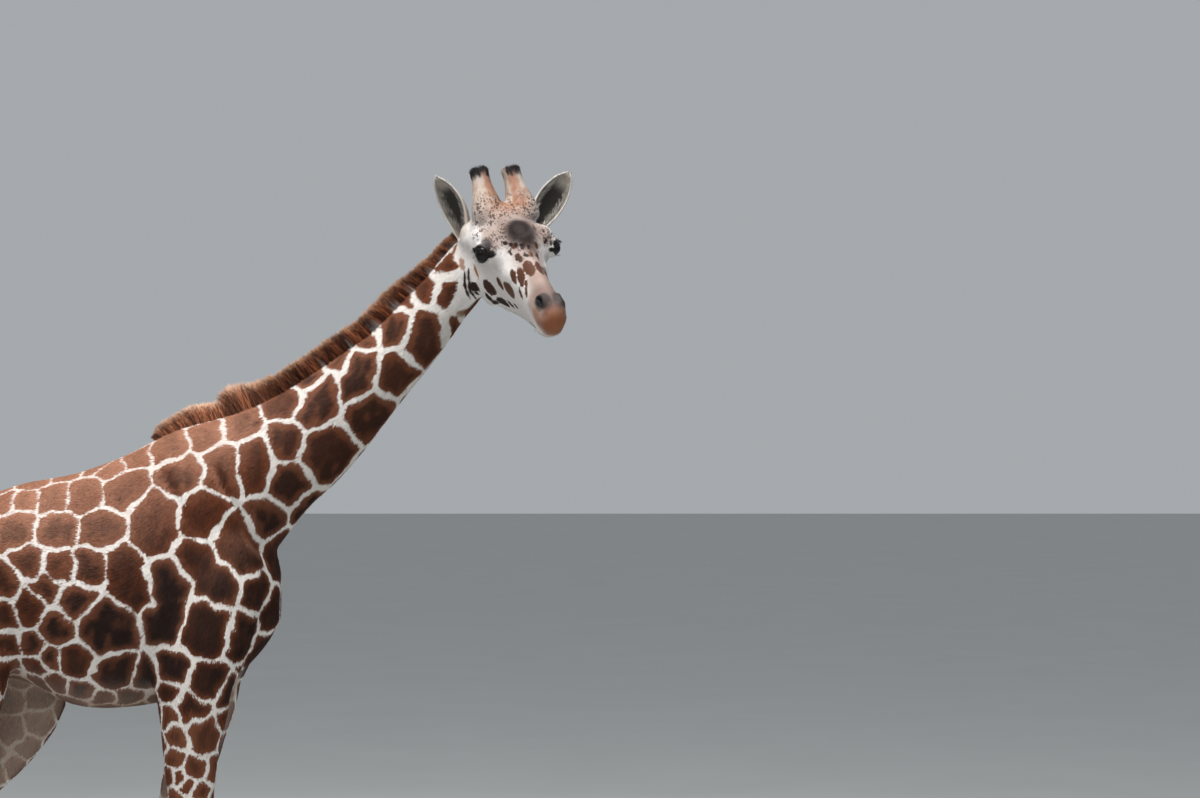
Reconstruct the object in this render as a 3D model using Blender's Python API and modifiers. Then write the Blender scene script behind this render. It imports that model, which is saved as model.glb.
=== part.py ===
"""A still, life-size young reticulated giraffe that stands on its four hooves, with its head turned.

Lengths are in metres. +X is the way the body faces, +Y is the animal's left, +Z is up and the floor
is z = 0. The flesh is lofted along its bones, fused into one skin, and parted by thin cuts into the
regions that a person would name. Run it in Blender 4.5, from the text editor or in the background.
"""

import math

import bmesh
import bpy
import numpy as np
from mathutils import Matrix, Vector

# ---------------------------------------------------------------- driving dimensions
LEFT, RIGHT = 1, -1
WITHERS_HEIGHT = 2.26
GAP = 0.0004  # between solids that touch
RING_POINTS = 28
SOLE_LENGTH, FOOT_WIDTH = 0.164, 0.130
CLEFT = 0.006  # between the two toes of a foot
BODY_VOXEL = 0.011
HEAD_VOXEL = 0.006
BODY_TRIANGLES = 2800
HEAD_TRIANGLES = 1500

# Trunk stations: x, top z, level of the widest point, bottom z, half width, ridge on top, keel below.
TRUNK = (
    (-0.965, 1.84, 1.74, 1.64, 0.045, 0.0, 0.0),
    (-0.955, 1.92, 1.75, 1.54, 0.115, 0.0, 0.0),
    (-0.880, 1.98, 1.77, 1.49, 0.175, 0.1, 0.1),
    (-0.780, 2.025, 1.78, 1.47, 0.210, 0.2, 0.1),
    (-0.660, 2.055, 1.78, 1.47, 0.228, 0.2, 0.1),
    (-0.540, 2.095, 1.76, 1.46, 0.240, 0.2, 0.1),
    (-0.400, 2.120, 1.72, 1.39, 0.256, 0.2, 0.0),
    (-0.300, 2.151, 1.71, 1.372, 0.258, 0.25, 0.0),
    (-0.200, 2.192, 1.72, 1.376, 0.250, 0.3, 0.0),
    (-0.100, 2.245, 1.75, 1.390, 0.232, 0.35, 0.1),
    (0.000, 2.285, 1.78, 1.410, 0.212, 0.4, 0.2),
    (0.100, 2.270, 1.78, 1.450, 0.190, 0.3, 0.2),
    (0.180, 2.160, 1.76, 1.510, 0.158, 0.2, 0.2),
    (0.240, 1.990, 1.74, 1.580, 0.118, 0.1, 0.1),
    (0.280, 1.820, 1.72, 1.650, 0.060, 0.0, 0.0),
)

# Neck stations: crest x and z, throat x and z, y of the middle, half width, ridge, keel.
NECK = (
    (-0.120, 2.235, 0.160, 1.740, 0.000, 0.185, 0.3, 0.0),
    (0.010, 2.285, 0.268, 1.880, 0.000, 0.165, 0.35, 0.0),
    (0.122, 2.317, 0.372, 2.013, 0.000, 0.132, 0.4, 0.0),
    (0.237, 2.365, 0.462, 2.096, 0.000, 0.108, 0.4, 0.0),
    (0.352, 2.433, 0.561, 2.209, -0.003, 0.092, 0.4, 0.0),
    (0.461, 2.506, 0.645, 2.320, -0.008, 0.083, 0.4, 0.0),
    (0.560, 2.573, 0.715, 2.408, -0.016, 0.076, 0.35, 0.0),
    (0.662, 2.674, 0.790, 2.500, -0.028, 0.070, 0.35, 0.0),
    (0.760, 2.775, 0.862, 2.600, -0.045, 0.066, 0.3, 0.0),
    (0.840, 2.862, 0.930, 2.690, -0.062, 0.062, 0.3, 0.0),
    (0.905, 2.915, 0.975, 2.770, -0.078, 0.056, 0.2, 0.0),
    (0.955, 2.920, 0.990, 2.800, -0.064, 0.044, 0.1, 0.0),
)

# Foreleg stations on the standing right leg: z, x, y from the middle, half depth, half width.
FORELEG = (
    (1.960, 0.070, 0.118, 0.105, 0.050),
    (1.800, 0.105, 0.142, 0.135, 0.070),
    (1.620, 0.065, 0.150, 0.142, 0.082),
    (1.480, 0.022, 0.152, 0.128, 0.080),
    (1.370, 0.018, 0.150, 0.112, 0.073),
    (1.290, 0.012, 0.147, 0.098, 0.066),
    (1.236, 0.010, 0.146, 0.090, 0.062),
    (1.090, 0.010, 0.143, 0.075, 0.054),
    (0.950, 0.012, 0.141, 0.061, 0.048),
    (0.865, 0.018, 0.140, 0.055, 0.048),
    (0.800, 0.026, 0.140, 0.058, 0.051),
    (0.740, 0.020, 0.140, 0.050, 0.047),
    (0.660, 0.012, 0.140, 0.039, 0.037),
    (0.450, 0.010, 0.140, 0.034, 0.031),
    (0.270, 0.010, 0.140, 0.037, 0.034),
    (0.190, 0.005, 0.140, 0.047, 0.041),
    (0.145, 0.018, 0.140, 0.042, 0.040),
    (0.085, 0.036, 0.140, 0.052, 0.050),
    (0.030, 0.046, 0.140, 0.056, 0.054),
)
# Hind leg stations on the right leg: x, z, y from the middle, half depth, half width.
HINDLEG = (
    (-0.790, 1.930, 0.110, 0.160, 0.075),
    (-0.755, 1.800, 0.128, 0.190, 0.092),
    (-0.735, 1.660, 0.140, 0.190, 0.102),
    (-0.720, 1.510, 0.148, 0.165, 0.096),
    (-0.725, 1.380, 0.152, 0.132, 0.084),
    (-0.775, 1.250, 0.150, 0.106, 0.070),
    (-0.860, 1.120, 0.145, 0.080, 0.056),
    (-0.945, 1.010, 0.140, 0.062, 0.045),
    (-1.010, 0.915, 0.137, 0.064, 0.044),
    (-1.030, 0.820, 0.135, 0.050, 0.040),
    (-1.028, 0.720, 0.134, 0.038, 0.033),
    (-1.018, 0.450, 0.133, 0.034, 0.030),
    (-1.010, 0.270, 0.132, 0.037, 0.032),
    (-1.012, 0.190, 0.132, 0.045, 0.039),
    (-0.998, 0.145, 0.132, 0.040, 0.038),
    (-0.980, 0.085, 0.132, 0.048, 0.047),
    (-0.970, 0.030, 0.132, 0.052, 0.051),
)
# How far each left leg stands from where its right one does: height, shift in x.
LEFT_FORE_SHIFT = ((1.60, 0.0), (1.39, -0.005), (1.24, -0.020), (1.08, -0.065), (0.80, -0.130), (0.17, -0.215), (0.0, -0.215))
LEFT_HIND_SHIFT = ((1.95, 0.0), (1.66, 0.075), (1.38, 0.165), (1.12, 0.135), (0.90, 0.100), (0.17, 0.120), (0.0, 0.120))

# Tail stations: x, z, y, half depth, half width.
TAIL = (
    (-0.930, 1.930, 0.000, 0.045, 0.050),
    (-0.985, 1.880, 0.000, 0.036, 0.038),
    (-1.030, 1.780, 0.004, 0.028, 0.028),
    (-1.050, 1.620, 0.010, 0.020, 0.021),
    (-1.056, 1.420, 0.016, 0.016, 0.017),
    (-1.056, 1.300, 0.019, 0.014, 0.015),
)
# The tassel at the end of the tail, out to the tips of its hair.
TASSEL = (
    (-1.056, 1.325, 0.019, 0.013, 0.014),
    (-1.056, 1.295, 0.019, 0.019, 0.020),
    (-1.058, 1.200, 0.020, 0.030, 0.030),
    (-1.062, 1.040, 0.022, 0.036, 0.035),
    (-1.064, 0.900, 0.024, 0.026, 0.025),
    (-1.064, 0.800, 0.024, 0.008, 0.008),
)

# The head has a frame of its own: x from the poll to the lips, y to its left, z towards the horns.
HEAD_AT = (0.984, -0.085, 2.853)
HEAD_YAW, HEAD_PITCH, HEAD_ROLL = math.radians(-70.5), math.radians(21), math.radians(6)
# Head stations: x, top z, widest z, bottom z, half width, ridge, keel.
HEAD = (
    (-0.060, 0.015, -0.030, -0.085, 0.035, 0.0, 0.0),
    (-0.035, 0.075, -0.020, -0.130, 0.062, 0.0, 0.2),
    (0.005, 0.128, 0.000, -0.170, 0.082, 0.0, 0.4),
    (0.060, 0.150, 0.010, -0.192, 0.092, 0.0, 0.45),
    (0.115, 0.150, 0.015, -0.188, 0.098, 0.05, 0.5),
    (0.170, 0.140, 0.020, -0.176, 0.096, 0.1, 0.5),
    (0.230, 0.118, 0.012, -0.164, 0.080, 0.15, 0.5),
    (0.300, 0.085, 0.000, -0.153, 0.062, 0.25, 0.4),
    (0.370, 0.060, -0.018, -0.144, 0.051, 0.3, 0.3),
    (0.440, 0.045, -0.028, -0.135, 0.046, 0.25, 0.2),
    (0.500, 0.034, -0.038, -0.126, 0.045, 0.2, 0.15),
    (0.542, 0.020, -0.046, -0.118, 0.046, 0.1, 0.1),
    (0.572, -0.002, -0.052, -0.106, 0.040, 0.0, 0.1),
    (0.590, -0.028, -0.058, -0.086, 0.026, 0.0, 0.0),
)
# Round masses on the head: centre x, y, z and half sizes. The ones with a y stand on both sides.
HEAD_MASSES = (
    (0.158, 0.088, 0.047, 0.078, 0.053, 0.050),  # orbit
    (0.145, 0.088, 0.068, 0.074, 0.044, 0.036),  # brow
    (0.070, 0.070, 0.034, 0.100, 0.052, 0.058),  # temple
    (0.230, 0.048, -0.004, 0.100, 0.030, 0.050),  # cheek ridge
    (0.085, 0.052, -0.070, 0.110, 0.042, 0.100),  # cheek
    (-0.012, 0.052, -0.078, 0.062, 0.050, 0.080),  # corner of the jaw
    (-0.012, 0.080, 0.026, 0.054, 0.050, 0.060),  # root of the ear
    (0.535, 0.026, -0.006, 0.044, 0.019, 0.026),  # nostril
    (0.560, 0.000, -0.046, 0.041, 0.047, 0.046),  # upper lip
    (0.508, 0.000, -0.100, 0.054, 0.034, 0.026),  # chin
    (0.205, 0.000, 0.112, 0.078, 0.046, 0.034),  # middle lump
)
# The skin bunched between jaw and neck on the side that the head turns to.
THROAT_FOLD = (-0.030, -0.072, -0.070, 0.055, 0.042, 0.080)
# Horn stations: distance up the horn, half depth, half width.
HORN_FEET = {RIGHT: (0.050, -0.045, 0.085), LEFT: (0.050, 0.068, 0.085)}
HORN_TIPS = {RIGHT: (-0.050, -0.060, 0.248), LEFT: (-0.050, 0.044, 0.242)}
HORN = (
    (0.00, 0.066, 0.046),
    (0.22, 0.060, 0.050),
    (0.45, 0.042, 0.040),
    (0.66, 0.030, 0.030),
    (0.82, 0.026, 0.026),
    (0.95, 0.026, 0.026),
    (1.00, 0.015, 0.015),
)
EYE_AT, EYE_RADIUS = (0.193, 0.108, 0.045), 0.030
EYE_DISH = (0.036, 0.015, 0.028)  # the hollow between the lids: half long, half deep, half tall
EAR_ROOTS = {RIGHT: (-0.024, -0.104, 0.010), LEFT: (-0.024, 0.104, 0.008)}
EAR_TIPS = {RIGHT: (-0.085, -0.184, 0.208), LEFT: (-0.085, 0.253, 0.187)}
EAR_FACES = {RIGHT: (0.60, -0.80, 0.0), LEFT: (1.0, -0.30, 0.0)}
EAR_THICKNESS = 0.006
# Ear stations: distance up the ear, half width, depth of the cup, half angle of the cup in degrees.
EAR = (
    (0.00, 0.024, 0.026, 126),
    (0.12, 0.028, 0.028, 124),
    (0.28, 0.038, 0.030, 114),
    (0.45, 0.047, 0.028, 104),
    (0.62, 0.048, 0.023, 96),
    (0.78, 0.041, 0.017, 92),
    (0.91, 0.028, 0.011, 90),
    (1.00, 0.011, 0.007, 90),
)


# Mane stations: how far along the crest of the neck, height of its hair, half width at the skin, and at its tips.
MANE = (
    (0.00, 0.012, 0.016, 0.004),
    (0.10, 0.046, 0.024, 0.007),
    (0.25, 0.060, 0.028, 0.009),
    (0.50, 0.068, 0.028, 0.010),
    (0.75, 0.063, 0.026, 0.010),
    (0.92, 0.052, 0.024, 0.009),
    (1.00, 0.024, 0.018, 0.006),
)
MANE_SINK = 0.030  # how far the mane's body is drawn into the neck before the neck is taken from it

# Where the body is parted. The leg levels are those of the belly and of the middle joint.
FORE_TOP, FORE_KNEE = 1.365, 0.770
HIND_TOP, HIND_HOCK = 1.375, 0.800
NECK_CUT_AT, NECK_CUT_WAY = (0.145, 0.0, 2.075), (0.877, 0.0, 0.480)
TAIL_CUT_X, TAIL_CUT_Z = -0.976, 1.795
# Hooves: height at the heel and at the toe; feet: x of the leg's axis at the floor, y, size against a front foot.
HEEL_HEIGHT, TOE_HEIGHT = 0.058, 0.104
CORONET = (-0.052, 0.042)  # where the top of a hoof starts and ends, from the axis of its leg
FEET = {
    "foreleg_right": (0.046, -0.140, 1.00),
    "foreleg_left": (-0.169, 0.140, 1.00),
    "hindleg_right": (-0.971, -0.132, 0.94),
    "hindleg_left": (-0.851, 0.132, 0.94),
}

# ---------------------------------------------------------------- curves and lofts
def refined(rows, count):
    """The rows joined by a smooth curve through them, read at count even steps."""
    table = np.array(rows, float)
    knots = np.arange(len(table))
    slopes = np.gradient(table, axis=0)
    at = np.linspace(0, len(table) - 1, count)
    i = np.minimum(at.astype(int), len(table) - 2)
    t = (at - knots[i])[:, None]
    return (
        (2 * t**3 - 3 * t**2 + 1) * table[i]
        + (t**3 - 2 * t**2 + t) * slopes[i]
        + (3 * t**2 - 2 * t**3) * table[i + 1]
        + (t**3 - t**2) * slopes[i + 1]
    )


def section(centre, side, up, half_width, above, below, ridge=0.0, keel=0.0, points=RING_POINTS):
    """One ring round a body: an oval that reaches above and below its centre, pinched at its top and bottom."""
    turn = np.linspace(0, 2 * math.pi, points, endpoint=False)
    rise = np.sin(turn)
    pinch = 1 - np.where(rise > 0, ridge, keel) * rise**2
    out = np.cos(turn) * half_width * pinch
    height = rise * np.where(rise > 0, above, below)
    return np.array(centre) + np.outer(out, side) + np.outer(height, up)


def loft(rings):
    """A closed mesh through the rings, as (points, faces)."""
    count = len(rings[0])
    points = np.concatenate(rings)
    faces = []
    for ring in range(len(rings) - 1):
        for k in range(count):
            a, b = ring * count + k, ring * count + (k + 1) % count
            faces.append((a, b, b + count, a + count))
    last = (len(rings) - 1) * count
    faces.append(tuple(range(count))[::-1])
    faces.append(tuple(last + k for k in range(count)))
    return points, faces


def limb(rows, y_sign, shift=((2.5, 0.0), (0.0, 0.0)), steps=3, points=RING_POINTS):
    """A loft along rows of x, z, y, half depth and half width, with each ring square to the limb."""
    path = refined(rows, steps * (len(rows) - 1) + 1)
    heights, moves = np.array(shift, float)[::-1].T
    path[:, 0] += np.interp(path[:, 1], heights, moves)
    centres = np.stack([path[:, 0], y_sign * path[:, 2], path[:, 1]], axis=1)
    along = np.gradient(centres, axis=0)
    along /= np.linalg.norm(along, axis=1)[:, None]
    side = np.array((0.0, 1.0, 0.0))
    rings = []
    for centre, way, row in zip(centres, along, path):
        front = np.cross(side, way)
        front /= np.linalg.norm(front)
        rings.append(section(centre, side, front, row[4], row[3], row[3], points=points))
    return loft(rings)


def ball(centre, sizes, points=18):
    """An ellipsoid as (points, faces)."""
    rings = []
    for k in range(1, points // 2):
        turn = math.pi * k / (points // 2)
        around = np.linspace(0, 2 * math.pi, points, endpoint=False)
        ring = np.stack(
            [
                np.full(points, math.cos(turn)),
                math.sin(turn) * np.cos(around),
                math.sin(turn) * np.sin(around),
            ],
            axis=1,
        )
        rings.append(np.array(centre) + ring * sizes)
    return loft(rings)


# ---------------------------------------------------------------- forms of the body
def trunk_form():
    rings = []
    for x, top, wide, bottom, half, ridge, keel in refined(TRUNK, 3 * len(TRUNK)):
        rings.append(
            section((x, 0, wide), (0, 1, 0), (0, 0, 1), half, top - wide, wide - bottom, ridge, keel)
        )
    return loft(rings)


def neck_form():
    rings = []
    for cx, cz, tx, tz, y, half, ridge, keel in refined(NECK, 3 * len(NECK)):
        crest, throat = np.array((cx, y, cz)), np.array((tx, y, tz))
        reach = np.linalg.norm(crest - throat) / 2
        up = (crest - throat) / (2 * reach)
        rings.append(section((crest + throat) / 2, (0, 1, 0), up, half, reach, reach, ridge, keel))
    return loft(rings)


def legs_form():
    fore = [(x, z, y, depth, width) for z, x, y, depth, width in FORELEG]
    return [
        limb(fore, RIGHT),
        limb(fore, LEFT, LEFT_FORE_SHIFT),
        limb(HINDLEG, RIGHT),
        limb(HINDLEG, LEFT, LEFT_HIND_SHIFT),
    ]


def head_matrix():
    turn = (
        Matrix.Rotation(HEAD_YAW, 4, "Z")
        @ Matrix.Rotation(HEAD_PITCH, 4, "Y")
        @ Matrix.Rotation(HEAD_ROLL, 4, "X")
    )
    return Matrix.Translation(HEAD_AT) @ turn


def placed(form, matrix):
    points, faces = form
    m = np.array(matrix)
    return points @ m[:3, :3].T + m[:3, 3], faces


def skull_forms():
    """The head's forms in its own frame."""
    rings = []
    for x, top, wide, bottom, half, ridge, keel in refined(HEAD, 3 * len(HEAD)):
        rings.append(
            section((x, 0, wide), (0, 1, 0), (0, 0, 1), half, top - wide, wide - bottom, ridge, keel)
        )
    forms = [loft(rings)]
    for x, y, z, long, across, tall in HEAD_MASSES:
        for side in (LEFT, RIGHT) if y else (LEFT,):
            forms.append(ball((x, side * y, z), (long, across, tall)))
    forms.append(ball(THROAT_FOLD[:3], THROAT_FOLD[3:]))
    return forms


def horn_form(side):
    """A horn in the head's frame: a shaft that flares at its foot and ends in a knob."""
    foot = np.array(HORN_FEET[side])
    tip = np.array(HORN_TIPS[side])
    way = (tip - foot) / np.linalg.norm(tip - foot)
    across = np.cross(way, (1.0, 0.0, 0.0))
    across /= np.linalg.norm(across)
    ahead = np.cross(across, way)
    rings = []
    for at, depth, width in refined(HORN, 9):
        rings.append(section(foot + at * (tip - foot), across, ahead, width, depth, depth, points=16))
    return loft(rings)


def ear_form(side):
    """A cupped ear in the head's frame: each ring runs round the back of the cup and returns inside it."""
    foot, tip = np.array(EAR_ROOTS[side]), np.array(EAR_TIPS[side])
    way = (tip - foot) / np.linalg.norm(tip - foot)
    across = np.cross(way, EAR_FACES[side])
    across /= np.linalg.norm(across)
    opens = np.cross(across, way)
    rings = []
    for at, half, depth, angle in refined(EAR, 10):
        turn = np.radians(np.linspace(-angle, angle, 9))
        back = np.stack([half * np.sin(turn), -depth * np.cos(turn)], axis=1)
        inner_half, inner_depth = half - min(EAR_THICKNESS, half * 0.45), depth - min(EAR_THICKNESS, depth * 0.45)
        inside = np.stack([inner_half * np.sin(turn), -inner_depth * np.cos(turn)], axis=1)[::-1]
        ring = np.concatenate([back, inside])
        curl = 0.012 * math.sin(math.pi * at)
        centre = foot + at * (tip - foot) - opens * curl
        rings.append(centre + np.outer(ring[:, 0], across) + np.outer(ring[:, 1], opens))
    return loft(rings)


def mesh_object(name, forms):
    """One mesh object that holds every form, still as separate shells."""
    bm = bmesh.new()
    for points, faces in forms:
        verts = [bm.verts.new(p) for p in points]
        for face in faces:
            bm.faces.new([verts[k] for k in face])
    bmesh.ops.recalc_face_normals(bm, faces=bm.faces)
    mesh = bpy.data.meshes.new(name)
    bm.to_mesh(mesh)
    bm.free()
    obj = bpy.data.objects.new(name, mesh)
    bpy.context.scene.collection.objects.link(obj)
    return obj


def settled(obj, *stack):
    """Adds the modifiers to an object, puts the mesh they give in the place of its own and drops them."""
    for kind, settings in stack:
        modifier = obj.modifiers.new(kind.lower(), kind)
        for key, value in settings.items():
            setattr(modifier, key, value)
    bpy.context.view_layer.update()
    evaluated = obj.evaluated_get(bpy.context.evaluated_depsgraph_get())
    mesh = bpy.data.meshes.new_from_object(evaluated)
    obj.modifiers.clear()
    obj.data = mesh
    return obj


def fused(name, forms, voxel, rounds, triangles):
    """The forms as one skin: joined, blended where they meet, and thinned to a budget."""
    obj = mesh_object(name, forms)
    settled(
        obj,
        ("REMESH", {"mode": "VOXEL", "voxel_size": voxel}),
        ("SMOOTH", {"factor": 0.5, "iterations": rounds}),
    )
    settled(obj, ("TRIANGULATE", {}))
    settled(obj, ("DECIMATE", {"ratio": triangles / len(obj.data.polygons)}))
    return obj


def copy_of(obj, name, grow=0.0):
    other = bpy.data.objects.new(name, obj.data.copy())
    bpy.context.scene.collection.objects.link(other)
    if grow:
        settled(other, ("DISPLACE", {"strength": grow, "mid_level": 0.0}))
    return other


def box(low, high, matrix=None):
    (a, b, c), (d, e, f) = low, high
    points = np.array([(x, y, z) for x in (a, d) for y in (b, e) for z in (c, f)], float)
    faces = [(0, 1, 3, 2), (4, 6, 7, 5), (0, 4, 5, 1), (2, 3, 7, 6), (0, 2, 6, 4), (1, 5, 7, 3)]
    return placed((points, faces), matrix) if matrix is not None else (points, faces)


def cut(obj, cutter, how):
    settled(obj, ("BOOLEAN", {"object": cutter, "operation": how, "solver": "EXACT"}))
    return obj


def main_body(obj):
    """Keeps the largest connected piece of a solid; a cut can leave a sliver beside it."""
    bm = bmesh.new()
    bm.from_mesh(obj.data)
    left, pieces = set(bm.verts), []
    while left:
        front, piece = [left.pop()], []
        while front:
            vert = front.pop()
            piece.append(vert)
            for edge in vert.link_edges:
                other = edge.other_vert(vert)
                if other in left:
                    left.discard(other)
                    front.append(other)
        pieces.append(piece)
    pieces.sort(key=len)
    for piece in pieces[:-1]:
        bmesh.ops.delete(bm, geom=piece, context="VERTS")
    bm.to_mesh(obj.data)
    bm.free()
    return obj


def carved(obj, name, shape):
    """Takes from obj all that lies in the shape, leaves a thin gap, and returns what was taken as an object."""
    cutter = mesh_object("cutter", [shape])
    piece = cut(copy_of(obj, name), cutter, "INTERSECT")
    cut(obj, copy_of(cutter, "cutter_grown", GAP), "DIFFERENCE")
    return piece


def slab(at, way, size=3.0):
    """A large box that fills the side of a plane that `way` points to."""
    z = Vector(way).normalized()
    x = Vector((0, 1, 0)).cross(z).normalized()
    y = z.cross(x)
    m = Matrix((x, y, z)).transposed().to_4x4()
    m.translation = Vector(at)
    return box((-size, -size, 0), (size, size, size), m)


def mane_form():
    """A fin that stands along the crest of the neck."""
    crest = refined([(row[0], row[4], row[1]) for row in NECK[:-1]], 61)
    along = np.gradient(crest, axis=0)
    along /= np.linalg.norm(along, axis=1)[:, None]
    up = np.cross(along, (0.0, 1.0, 0.0)) * -1
    up[:, 1] = 0
    up /= np.linalg.norm(up, axis=1)[:, None]
    table = np.array(MANE)
    rings = []
    for k in range(0, 57, 4):
        t = k / 56
        height, foot, tip = (np.interp(t, table[:, 0], table[:, i]) for i in (1, 2, 3))
        outline = [
            (-foot, -MANE_SINK), (-foot * 0.98, 0.0), (-tip * 1.7, height * 0.6), (-tip, height * 0.94),
            (0.0, height),
            (tip, height * 0.94), (tip * 1.7, height * 0.6), (foot * 0.98, 0.0), (foot, -MANE_SINK),
        ]
        rings.append(np.array([crest[k] + np.array((0, y, 0)) + z * up[k] for y, z in outline]))
    return loft(rings)


def toe_form(foot, side):
    """One toe of a cloven hoof, with a flat sole on the floor and a top that rises to the front."""
    x, y, size = FEET[foot]
    half = (FOOT_WIDTH * size - CLEFT) / 4
    middle = y + side * (half + CLEFT / 2)
    rings = []
    # level up the wall, x of the heel, x of the toe, breadth
    for level, heel, toe, breadth in (
        (0.00, -0.074, 0.088, 0.97),
        (0.04, -0.077, 0.090, 1.00),
        (0.50, -0.066, 0.067, 0.96),
        (1.00, *CORONET, 0.87),
    ):
        ring = []
        for turn in np.linspace(0, 2 * math.pi, 14, endpoint=False):
            u, v = math.cos(turn), math.sin(turn)
            u = math.copysign(abs(u) ** 0.85, u)
            wide = half * breadth * math.copysign(abs(v) ** 0.75, v)
            lean = -side * 0.20 * half * max(u, 0.0) ** 2 * (1 - abs(v))
            px = x + size * ((heel + toe) / 2 + u * (toe - heel) / 2)
            rise = HEEL_HEIGHT + (TOE_HEIGHT - HEEL_HEIGHT) * (u + 1) / 2
            # the inner wall stays upright, so the toes stand side by side
            shift = -side * half * (1 - breadth) * 0.9
            ring.append((px, middle + shift + wide + lean, level * rise * size))
        rings.append(np.array(ring))
    return loft(rings)


def foot_slab(foot):
    """All that lies under the sloping top of a foot."""
    x, y, size = FEET[foot]
    slope = (TOE_HEIGHT - HEEL_HEIGHT) / (CORONET[1] - CORONET[0])
    middle = (HEEL_HEIGHT + TOE_HEIGHT) / 2 * size
    way = Vector((slope, 0, -1)).normalized()
    at = Vector((x + sum(CORONET) / 2 * size, y, middle + GAP))
    z = way
    side = Vector((0, 1, 0))
    across = side.cross(z)
    m = Matrix((across, side, z)).transposed().to_4x4()
    m.translation = at
    return box((-0.16, -0.10, 0), (0.16, 0.10, 0.3), m)


# ---------------------------------------------------------------- the animal
MATERIALS = {
    "coat": ((0.30, 0.12, 0.06), 0.85),
    "pale coat": ((0.62, 0.50, 0.40), 0.85),
    "mane hair": ((0.24, 0.09, 0.05), 0.9),
    "dark hair": ((0.02, 0.016, 0.015), 0.9),
    "hoof horn": ((0.10, 0.075, 0.06), 0.55),
    "eye": ((0.012, 0.009, 0.008), 0.08),
}


def dressed(obj, name, material, group, shift):
    """Gives a finished solid its name, material and collection, and moves it to the shared frame."""
    obj.name = obj.data.name = name
    m = bpy.data.materials.new(name)
    m.use_nodes = True
    shader = m.node_tree.nodes["Principled BSDF"]
    colour, rough = MATERIALS[material]
    shader.inputs["Base Color"].default_value = (*colour, 1)
    shader.inputs["Roughness"].default_value = rough
    obj.data.materials.clear()
    obj.data.materials.append(m)
    obj.data.transform(Matrix.Translation(shift))
    for polygon in obj.data.polygons:
        polygon.use_smooth = material != "hoof horn"
    for collection in list(obj.users_collection):
        collection.objects.unlink(obj)
    group.objects.link(obj)


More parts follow.
